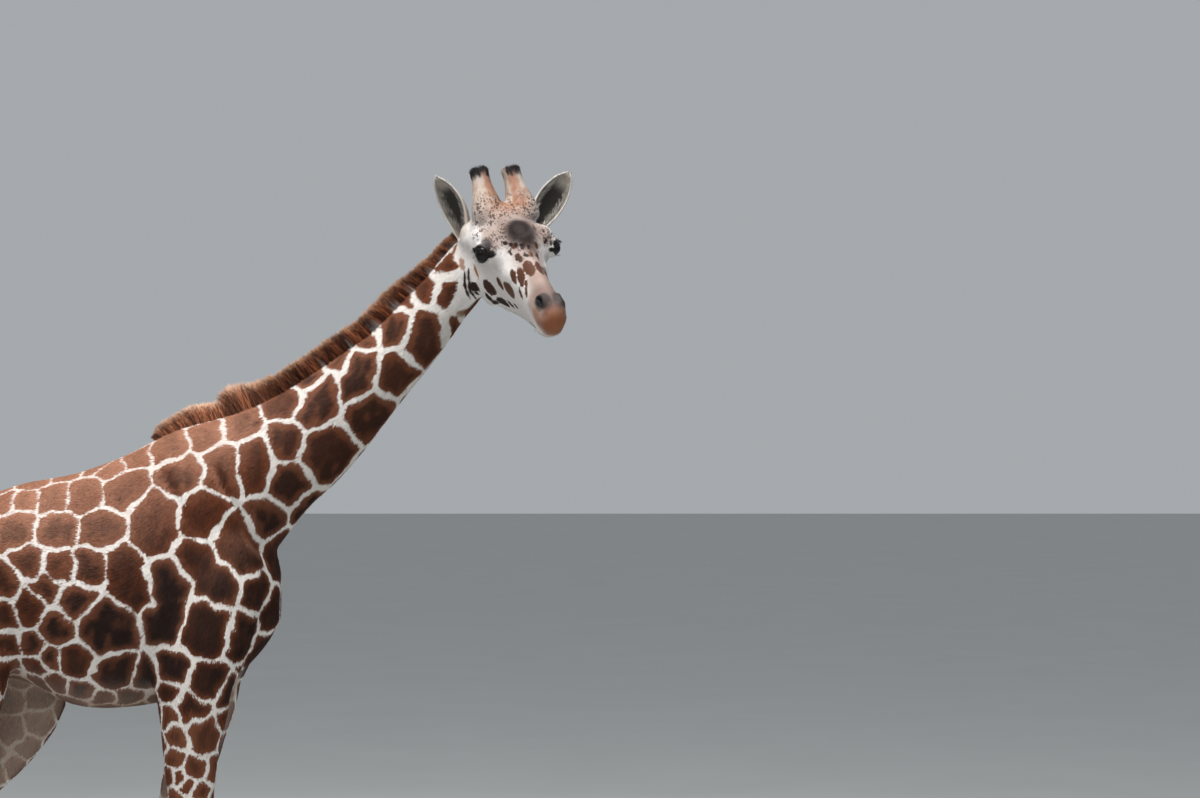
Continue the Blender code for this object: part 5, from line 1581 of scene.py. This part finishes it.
def coat_pieces(skin_points, skin_normals, triangles, markings, head, neck, leg, material):
    """Short locks over the whole skin, smallest on the face and feet, in pieces by part of the body."""
    rng = np.random.default_rng(5)
    h = moved(skin_points, BODY_TO_HEAD)
    x, y, z = skin_points.T
    clear, gap = np.ones(len(skin_points)), np.full(len(skin_points), np.inf)
    for side in (LEFT, RIGHT):  # no hair in the eyes, nostrils and mouth
        inside, spread, depth = opening(h, side)
        clear *= 1 - (depth > -0.02) * (spread < 0.06) * smooth(-0.0065, -0.0030, inside)
        clear *= smooth(1.0, 1.4, nostril_reach(h, side))
        gap = np.minimum(gap, along_path(h * (1, side, 1), MOUTH)[0])
    clear *= np.where(np.linalg.norm(h, axis=1) < 0.8, smooth(0.002, 0.005, gap), 1.0)
    density = (1.0 + 3.4 * head + 0.6 * (1 - smooth(0.4, 1.3, z))) * clear
    below = (head <= 0.5) & (neck <= 0.5)
    fore = below & (z < 1.45) & (x > -0.25)
    hind = below & (z < 1.45) & (x <= -0.25) & ((z < 1.38) | (x < -0.5))
    trunk = below & ~fore & ~hind
    parts = {
        "head": (head > 0.5, 66000),
        "neck": ((head <= 0.5) & (neck > 0.5), 58000),
        "fore": (fore, 44000),
        "hind": (hind, 44000),
        "right": (trunk & (y < 0), 54000),
        "left": (trunk & (y >= 0), 54000),
    }
    made = []
    for part, (of_part, count) in parts.items():
        count = count
        inside = triangles[of_part[triangles].sum(1) >= 2]
        root, normal, read = rooted(skin_points, skin_normals, inside, density, count, rng)
        on_head, on_neck, on_leg = read(head), read(neck), read(leg)
        values = markings.read(root, normal, on_head)
        near_edge = 1 - smooth(0.0, 0.012, np.abs(values["edge"]))
        values["edge"] = np.where(values["edge"] + rng.normal(size=count) * 0.0016 > 0, 0.03, -0.03)
        values["tone"] = np.clip(rng.normal(size=count) * 0.6, -1.2, 1.2)
        values |= {"on_head": on_head, "on_neck": on_neck, "on_leg": on_leg}
        way = lie(root, normal, on_head, on_neck, on_leg, rng)
        level = root[:, 2]
        long = 0.0155 - 0.0055 * (1 - smooth(0.5, 1.3, level)) - 0.003 * (1 - smooth(0.12, 0.4, level))
        wide = 0.0027 - 0.0008 * (1 - smooth(0.3, 1.2, level))
        in_head = moved(root, BODY_TO_HEAD)
        muzzle = smooth(0.40, 0.52, in_head[:, 0])
        face_long = 0.0085 - 0.0038 * muzzle
        face_wide = 0.00125 - 0.00035 * muzzle
        lift = 0.0028 + (0.0012 - 0.0028) * on_head
        for side in (LEFT, RIGHT):  # the knobs of the horns have long loose hair
            along, up_horn, off, away = about_horn(in_head, side)
            knob = (off < 0.05) * smooth(0.74, 0.90, up_horn)
            face_long = face_long + 0.0070 * knob
            face_wide = face_wide + 0.0004 * knob
            lift = lift + 0.0060 * knob * rng.random(count)
        long = (long + (face_long - long) * on_head) * rng.uniform(0.75, 1.2, count) * (1 - 0.48 * near_edge)
        wide = (wide + (face_wide - wide) * on_head) * rng.uniform(0.8, 1.2, count)
        tip = root + way * long[:, None] + normal * (lift * rng.uniform(0.5, 1.25, count))[:, None]
        curves = np.stack([root - normal * 0.0004, tip], 1)
        across = unit(np.cross(normal, way))
        shading = unit(normal + 0.25 * across * rng.normal(size=count)[:, None])
        uv = unwrapped(root, part)
        made.append(locks(f"coat_{part}", curves, across, normal, wide, (1.0,), uv, values, material, shading))
    return made


# ---------------------------------------------------------------- mane, tassel and long hair
def shaded(low, high, mix, tone):
    """Colours for every vertex of every lock, from low to high by the vertex's mix, lighter or darker by its tone."""
    colour = low[:, None] + (high - low)[:, None] * mix[..., None]
    return np.clip(colour * (1 + 0.22 * tone)[:, None, None], 0, 1)


def made_mane(markings):
    """The upright mane along the crest of the neck."""
    rng = np.random.default_rng(23)
    crest = refined(NECK, 61)
    count = 20000
    s = (np.arange(count) + rng.random(count)) / count
    at = s * 56.0  # in steps of the crest, which has 60; the last ones lie under the crown of the head
    i = np.minimum(at.astype(int), 59)
    t = (at - i)[:, None]
    middle = (crest[i] * (1 - t) + crest[i + 1] * t)[:, [0, 4, 1]]
    ahead = unit((crest[i + 1] - crest[i])[:, [0, 4, 1]])
    x = middle[:, 0]
    stations, heights, halves = np.array(MANE).T
    tall = np.interp(s, stations, heights)
    across = np.clip(rng.normal(size=count) * 0.42, -1, 1)
    up = unit(np.cross(ahead, (0, 1, 0)) * -1)
    up *= np.sign(up[:, 2])[:, None]
    out = np.array((0.0, 1.0, 0.0))
    aside = across * np.interp(s, stations, halves) * 0.62
    root = middle + out * aside[:, None] - up * (0.010 + 0.012 * across**2)[:, None]

    # the hair stands in bunches
    bunch = 2 * scattered(np.round(at * 1.6 + across * 2) * 0.37, 12.9898) - 1
    lean = -0.14 + 0.05 * waves(middle, 0.08, 91) + 0.10 * bunch + 0.11 * rng.normal(size=count)
    lean = lean - 0.35 * (1 - smooth(0.0, 0.10, s)) + 0.25 * smooth(0.93, 1.0, s)
    splay = across * 0.10 + 0.035 * waves(middle, 0.05, 92) + 0.04 * rng.normal(size=count)
    height = tall * (0.95 + 0.04 * waves(middle, 0.10, 93) + 0.025 * bunch) * rng.uniform(0.66, 1.06, count)
    step = np.where(x < 0.114, 0.88, np.where(x < 0.150, 1.10, 1.0))
    step = step * (1 - 0.36 * smooth(0.66, 0.79, x) - 0.14 * smooth(0.78, 0.92, x))
    extra = np.interp(x, *np.array(MANE_TUFTS).T)
    height = (height * step + extra * rng.uniform(0.75, 1.05, count)) * (1 - 0.35 * across**2) + 0.010
    way = unit(up + ahead * lean[:, None] + out * splay[:, None])
    bend = ahead * (lean * 0.25)[:, None] * height[:, None] * 0.5
    upper = root + way * (height * MANE_BEND)[:, None] - bend
    curves = np.stack([root, upper, root + way * height[:, None] + bend], 1)

    tone = np.clip(rng.normal(size=count) * 0.7 + 0.4 * bunch, -1.3, 1.3)
    grain = 2 * scattered(np.round(at * 4.2 + across * 2), 78.233) - 1
    warm = np.clip(0.35 + 0.45 * grain + 0.25 * bunch + 0.25 * rng.normal(size=count), 0, 1)
    low = blended((0.036, 0.0115, 0.0060), (0.270, 0.082, 0.033), warm)
    pale_tip = np.clip(rng.random(count) ** 1.5 + 0.3 * (1 - s), 0, 1)
    high = blended((0.150, 0.060, 0.030), (0.66, 0.40, 0.24), pale_tip * (1 - 0.35 * smooth(0.35, 0.9, s)))
    pale = (1 - smooth(0.15, 0.30, x))[:, None]
    high = high + (np.array((0.66, 0.47, 0.35)) - high) * pale * (0.35 + 0.55 * rng.random((count, 1)))
    low = low * (1 + (1.1, 1.7, 2.4) * pale) + (0.03, 0.012, 0.006) * pale
    height = height * (1 + 0.08 * grain + 0.05 * bunch)
    rise = np.stack([np.zeros(count), height * MANE_BEND, height], 1) / (tall * step + extra + 0.010)[:, None]
    colour = shaded(low, high, smooth(0.66, 0.94, rise)[:, [0, 0, 0, 1, 1, 1, 2]], tone)
    # the pale lines of the neck run up into the lower part of the mane
    flank = np.where(across < 0, -1.0, 1.0)[:, None] * out
    seen = markings.read(middle + flank * 0.022 - up * 0.012, unit(flank + 0.5 * up), np.zeros(count))
    line = (1 - smooth(-0.001, 0.003, seen["edge"])) * smooth(0.30, 0.42, x)
    colour[:, :3] += (seen["ground"][:, None] * 0.85 - colour[:, :3]) * (0.50 * line)[:, None, None]
    side = unit(np.cross(up, way) + ahead * 0.8)
    top = unit(np.cross(side, way))
    wide = rng.uniform(0.0014, 0.0028, count)
    uv = np.stack([s, across * 0.45 + 0.5], 1)
    look = hair_material("mane", 0.6)
    return locks("mane_hair", curves, side, top, wide, (1.0, 0.8), uv, {"paint": colour}, look)


def made_tassel():
    """The long black hair at the end of the tail."""
    rng = np.random.default_rng(29)
    count = 4200
    s = rng.random(count) ** 1.3
    turn = rng.uniform(0, 2 * math.pi, count)
    start = 1.325 - 0.16 * s
    ring = np.stack([np.cos(turn), np.sin(turn), np.zeros(count)], 1)
    clump = np.round(turn * 3.2) + 7 * np.round(s * 3)
    bunch = scattered(clump, 12.9898)
    end = start - rng.uniform(0.34, 0.46, count) - 0.10 * bunch
    end = np.maximum(end, 0.803 + 0.055 * (1 - bunch) ** 2 + 0.012 * rng.random(count))
    swing = rng.normal(size=(count, 3)) * (0.12, 0.12, 0)
    swing = swing + 0.8 * np.stack([np.sin(clump * 5.1), np.cos(clump * 3.7), 0 * clump], 1)
    xs, heights, ys, halves = np.array(TASSEL)[::-1].T
    rows = []
    for share in (0.0, 0.33, 0.66, 1.0):
        z = start + (end - start) * share
        reach = np.interp(z, heights, halves) * (0.30 + 0.50 * bunch + 0.22 * rng.random(count) if share else 0.60)
        middle = np.stack([np.interp(z, heights, xs), np.interp(z, heights, ys), z], 1)
        way = ring + swing * share
        rows.append(middle + way / np.linalg.norm(way, axis=1)[:, None] * reach[:, None])
    tone = np.clip(rng.normal(size=count), -1, 1)
    low = np.tile((0.014, 0.010, 0.009), (count, 1))
    high = np.array((0.022, 0.015, 0.012)) + np.array((0.070, 0.042, 0.028)) * (bunch**3)[:, None]
    colour = shaded(low, high, np.repeat((0.0, 0.2, 0.6, 1.0), (3, 3, 3, 1)), tone)
    side = unit(np.cross(ring, (0, 0, 1)))
    wide = rng.uniform(0.0016, 0.0028, count)
    uv = np.stack([turn / (2 * math.pi), s], 1)
    look = hair_material("tassel", 0.42)
    return locks("tassel_hair", np.stack(rows, 1), side, ring, wide, (1.0, 0.95, 0.7), uv, {"paint": colour}, look)


def made_fringe():
    """Lashes, the long hair inside the ears, and bristles on the chin."""
    rng = np.random.default_rng(31)
    hairs = []

    def add(points, side, top, wide, colour, place):
        """Adds one hair, given in the head's frame."""
        turn = HEAD_TO_BODY.to_3x3()
        curve = [HEAD_TO_BODY @ Vector(p) for p in points]
        hairs.append((curve, turn @ Vector(side), turn @ Vector(top), wide, colour, place))

    long, rise, fall = OPENING
    stations, *ear_columns = np.array(EAR).T
    for of, side in enumerate((LEFT, RIGHT)):
        centre, nose, up, out = eye_frame(side)
        for _ in range(84):
            a = rng.uniform(-1.0, 0.98)
            upper = rng.random() < 0.80
            flat = a * long
            b = (rise if upper else -fall) * math.sqrt(max(1 - a * a, 0)) ** (0.8 if upper else 0.9) - 0.10 * a * long
            deep = math.sqrt(max((EYE_RADIUS + 0.0030) ** 2 - flat**2 - b**2, 1e-6))
            root = centre + nose * flat + up * b + out * deep
            fan = nose * (0.30 * a) + out * 0.95
            size = rng.uniform(0.015, 0.023) * (1 - 0.25 * abs(a)) if upper else rng.uniform(0.008, 0.013)
            size = size * (1.0 if side == RIGHT else 0.7)
            first = unit(fan + up * (-0.15 if upper else -0.35) + rng.normal(size=3) * 0.06)
            last = unit(fan * 0.8 + up * (-0.42 if upper else -0.75) + rng.normal(size=3) * 0.08)
            bend = root + first * size * 0.5
            place = ((a + 1) / 2 * 0.4 + 0.45 * of, 0.1 + 0.1 * upper)
            curve = (root - out * 0.001, bend, bend + last * size * 0.5)
            add(curve, nose, up, 0.0011, (0.010, 0.008, 0.008), place)
        foot, tip, way, across, opens = ear_axes(side)
        tall = np.linalg.norm(tip - foot)
        for _ in range(520):
            at = rng.uniform(0.10, 0.86)
            half, depth, angle = (np.interp(at, stations, column) for column in ear_columns)
            edge = rng.choice((-1, 1))
            turn = math.radians(angle) * edge * rng.uniform(0.45, 0.96)
            deep = -depth * EAR_LINING * math.cos(turn) - EAR_CURL * math.sin(math.pi * at)
            root = foot + way * at * tall + across * half * EAR_LINING * math.sin(turn) + opens * deep
            inward = -across * math.sin(turn) * 0.75 + way * 0.75 + opens * rng.uniform(0.05, 0.35)
            inward = unit(inward + rng.normal(size=3) * 0.12)
            size = rng.uniform(0.012, 0.024) * (1 - 0.35 * at)
            curve = (root - inward * 0.001, root + inward * size * 0.55, root + inward * size + way * size * 0.3)
            grey = rng.uniform(0.35, 0.62)
            place = (0.1 + 0.4 * of + 0.3 * at, 0.5 + 0.2 * edge)
            add(curve, across, opens, 0.0009, (grey, grey * 0.93, grey * 0.85), place)
    table = np.array(HEAD)
    for _ in range(160):
        x = rng.uniform(0.47, 0.588)
        y = rng.uniform(-1, 1) * 0.030
        root = np.array((x, y, np.interp(x, table[:, 0], table[:, 3]) + 0.010 + 9.0 * y * y))
        way = unit(np.array((-0.35, y * 8, -1.0)) + rng.normal(size=3) * 0.15)
        size = rng.uniform(0.010, 0.018)
        curve = (root, root + way * size * 0.5, root + way * size + np.array((-0.003, 0, 0)))
        add(curve, (1, 0, 0), (0, 1, 0), 0.0006, (0.20, 0.13, 0.09), (0.8 + y, x - 0.4))
    curves, sides, tops, wides, colours, places = (np.array(column, float) for column in zip(*hairs))
    look = hair_material("fringe", 0.5)
    return locks("fringe", curves, sides, tops, wides, (1.0, 0.75), places, {"paint": colours}, look)


# ---------------------------------------------------------------- eyes and hooves
def made_eye(side):
    """An eyeball with a shallow bulge, dark iris and pupil."""
    centre, nose, up, out = eye_frame(side)
    rings, around = 40, 64
    points, seen = [], []
    for k in range(rings + 1):
        polar = math.pi * k / rings
        flat = math.sin(polar)
        reach = EYE_RADIUS * 0.992 + 0.0016 * (1 - smooth(0.0, 0.75, polar))
        for j in range(around):
            turn = 2 * math.pi * j / around
            way = out * math.cos(polar) + (nose * math.cos(turn) + up * math.sin(turn)) * flat
            points.append(centre + way * reach)
            seen.append((polar, flat * math.cos(turn), flat * math.sin(turn)))
    faces = []
    for low in range(0, rings * around, around):
        for j in range(around):
            k = (j + 1) % around
            faces.append((low + j, low + k, low + around + k, low + around + j))
    name = "eye_ball_left" if side == LEFT else "eye_ball_right"
    eye = object_from(name, moved(np.array(points), HEAD_TO_BODY) + SHIFT, faces)
    polar, a, b = np.array(seen).T
    pupil = 1 - smooth(0.9, 1.05, np.hypot(a / 0.50, b / 0.27))
    iris = 1 - smooth(0.62, 0.72, polar)
    colour = np.tile((0.012, 0.008, 0.007), (len(points), 1))
    colour = blended(colour, (0.007, 0.004, 0.003), iris)
    colour = blended(colour, (0.003, 0.003, 0.004), pupil * iris)
    put_values(eye.data, "paint", colour)
    settled(eye)
    welded(eye)
    edited(eye, lambda bm: bmesh.ops.recalc_face_normals(bm, faces=bm.faces))
    shown_round(eye)
    return eye


def made_hoof(node):
    """One half of a hoof, worn smooth, from the CAD node's own shape."""
    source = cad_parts[node]
    points = moved(points_of(source), source.matrix_world)
    hoof = object_from(f"{node}_horn", points, [tuple(p.vertices) for p in source.data.polygons])
    welded(hoof)
    settled(hoof, ("REMESH", {"mode": "VOXEL", "voxel_size": 0.0042}), ("SMOOTH", {"factor": 0.6, "iterations": 9}))
    grown = points_of(hoof) + normals_of(hoof) * 0.0008
    grown[:, 2] = np.maximum(grown[:, 2], points[:, 2].min())
    put_points(hoof, grown)
    shown_round(hoof)
    return hoof


# ---------------------------------------------------------------- camera, floor and light
def staged():
    """Camera, floor and lights."""
    scene = bpy.context.scene
    camera = linked("camera", bpy.data.cameras.new("camera"))
    camera.location = tuple(VIEW_FROM + SHIFT * (1, 1, 0))
    camera.rotation_euler = (math.pi / 2, 0, 0)
    camera.data.sensor_width = 36
    camera.data.lens = 103.125
    camera.data.clip_end = 300
    scene.camera = camera

    floor = object_from("floor", [(-60, -60, 0), (60, -60, 0), (60, 60, 0), (-60, 60, 0)], [(0, 1, 2, 3)])
    n = Nodes("floor")
    speck = n.noise(n.place(), 1.3, 3.0)
    floor.data.materials.append(n.put(Base_Color=n.blend(speck, (0.50, 0.51, 0.50), (0.55, 0.56, 0.55)), Roughness=0.9))

    for name, at, target, size, power, colour in (
        ("sky", (-0.5, -2.0, 9.0), (0.1, 0, 1.8), 5.0, 860, (1.0, 0.99, 0.97)),
        ("key", (-4.5, -7.5, 6.0), (0.1, 0, 1.9), 3.5, 130, (1.0, 0.98, 0.95)),
        ("front", (6.5, -6.0, 4.0), (0.4, 0, 2.0), 4.0, 62, (0.96, 0.98, 1.0)),
        ("back", (1.0, 8.0, 5.0), (0.1, 0, 1.9), 5.0, 80, (1, 1, 1)),
    ):
        light = linked(name, bpy.data.lights.new(name, "AREA"))
        light.data.shape = "DISK"
        light.data.size, light.data.energy, light.data.color = size, power, colour
        light.location = at
        light.rotation_euler = (Vector(target) - Vector(at)).to_track_quat("-Z", "Y").to_euler()
    world = bpy.data.worlds.new("studio")
    world.use_nodes = True
    world.node_tree.nodes["Background"].inputs["Color"].default_value = (0.90, 0.95, 1.0, 1)
    world.node_tree.nodes["Background"].inputs["Strength"].default_value = 0.42
    scene.world = world
    scene.view_settings.view_transform = "Standard"


# ---------------------------------------------------------------- the scene
def belonging(points):
    """How far points of the skin belong to the head, the neck and the legs."""
    x, y, z = points.T
    to_head = distances([in_body(form) for form in skull_forms()], points)
    to_neck = distances([neck_form()], points)
    h = moved(points, BODY_TO_HEAD)
    far = np.linalg.norm(h, axis=1)
    near_head = (h[:, 0] > -0.12) * (np.linalg.norm(points - HEAD_AT, axis=1) < 0.75)
    head = smooth(-0.006, 0.010, to_neck - to_head) * near_head
    # the folds behind the jaw belong to the face
    bound = np.interp(h[:, 2], *np.array(JAW_BOUND).T)
    fold = smooth(-0.004, 0.004, h[:, 0] - bound) * (h[:, 1] < 0) * smooth(-0.205, -0.185, h[:, 2]) * (far < 0.3)
    high = smooth(0.06, 0.10, h[:, 2]) * (far < 0.42)
    head = np.maximum(np.maximum(head, fold), high)
    neck = smooth(0.02, 0.28, x) * smooth(1.95, 2.20, z + 0.3 * x) * (1 - head)
    leg = 1 - smooth(1.35, 1.75, z)
    return head, neck, leg


staged()
skin = made_skin()
points, normals = points_of(skin), normals_of(skin)
skin.data.calc_loop_triangles()
triangles = np.empty(len(skin.data.loop_triangles) * 3, np.int32)
skin.data.loop_triangles.foreach_get("vertices", triangles)
triangles = triangles.reshape(-1, 3)
head, neck, leg = belonging(points)
markings = Markings(laid_seeds(skin, points, head > 0.5))
values = markings.read(points, normals, head) | {"on_head": head, "on_neck": neck, "on_leg": leg}
for name, value in values.items():
    put_values(skin.data, name, value)
put_points(skin, points + SHIFT)
coat = coat_material()
dressed(skin, coat)
LEG_NODES = [f"{leg_name}_{part}" for leg_name in FEET for part in ("upper", "lower")]
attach(skin, "root")
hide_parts("trunk", "neck", "head", "tail", "ossicone_left", "ossicone_right", "ear_left", "ear_right", *LEG_NODES)

for piece in coat_pieces(points, normals, triangles, markings, head, neck, leg, coat):
    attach(piece, "root")

mane, tassel, fringe = made_mane(markings), made_tassel(), made_fringe()
for piece, node in ((mane, "mane"), (tassel, "tail_tassel"), (fringe, "head")):
    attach(piece, "root")
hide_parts("mane")
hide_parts("tail_tassel")

eye_look = eye_material()
for side, node in ((LEFT, "eye_left"), (RIGHT, "eye_right")):
    eye = made_eye(side)
    dressed(eye, eye_look)
    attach(eye, "root")
    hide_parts(node)

hoof_look = hoof_material()
for leg_name in FEET:
    for half in "ab":
        node = f"{leg_name}_hoof_{half}"
        hoof = made_hoof(node)
        dressed(hoof, hoof_look)
        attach(hoof, "root")
        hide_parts(node)
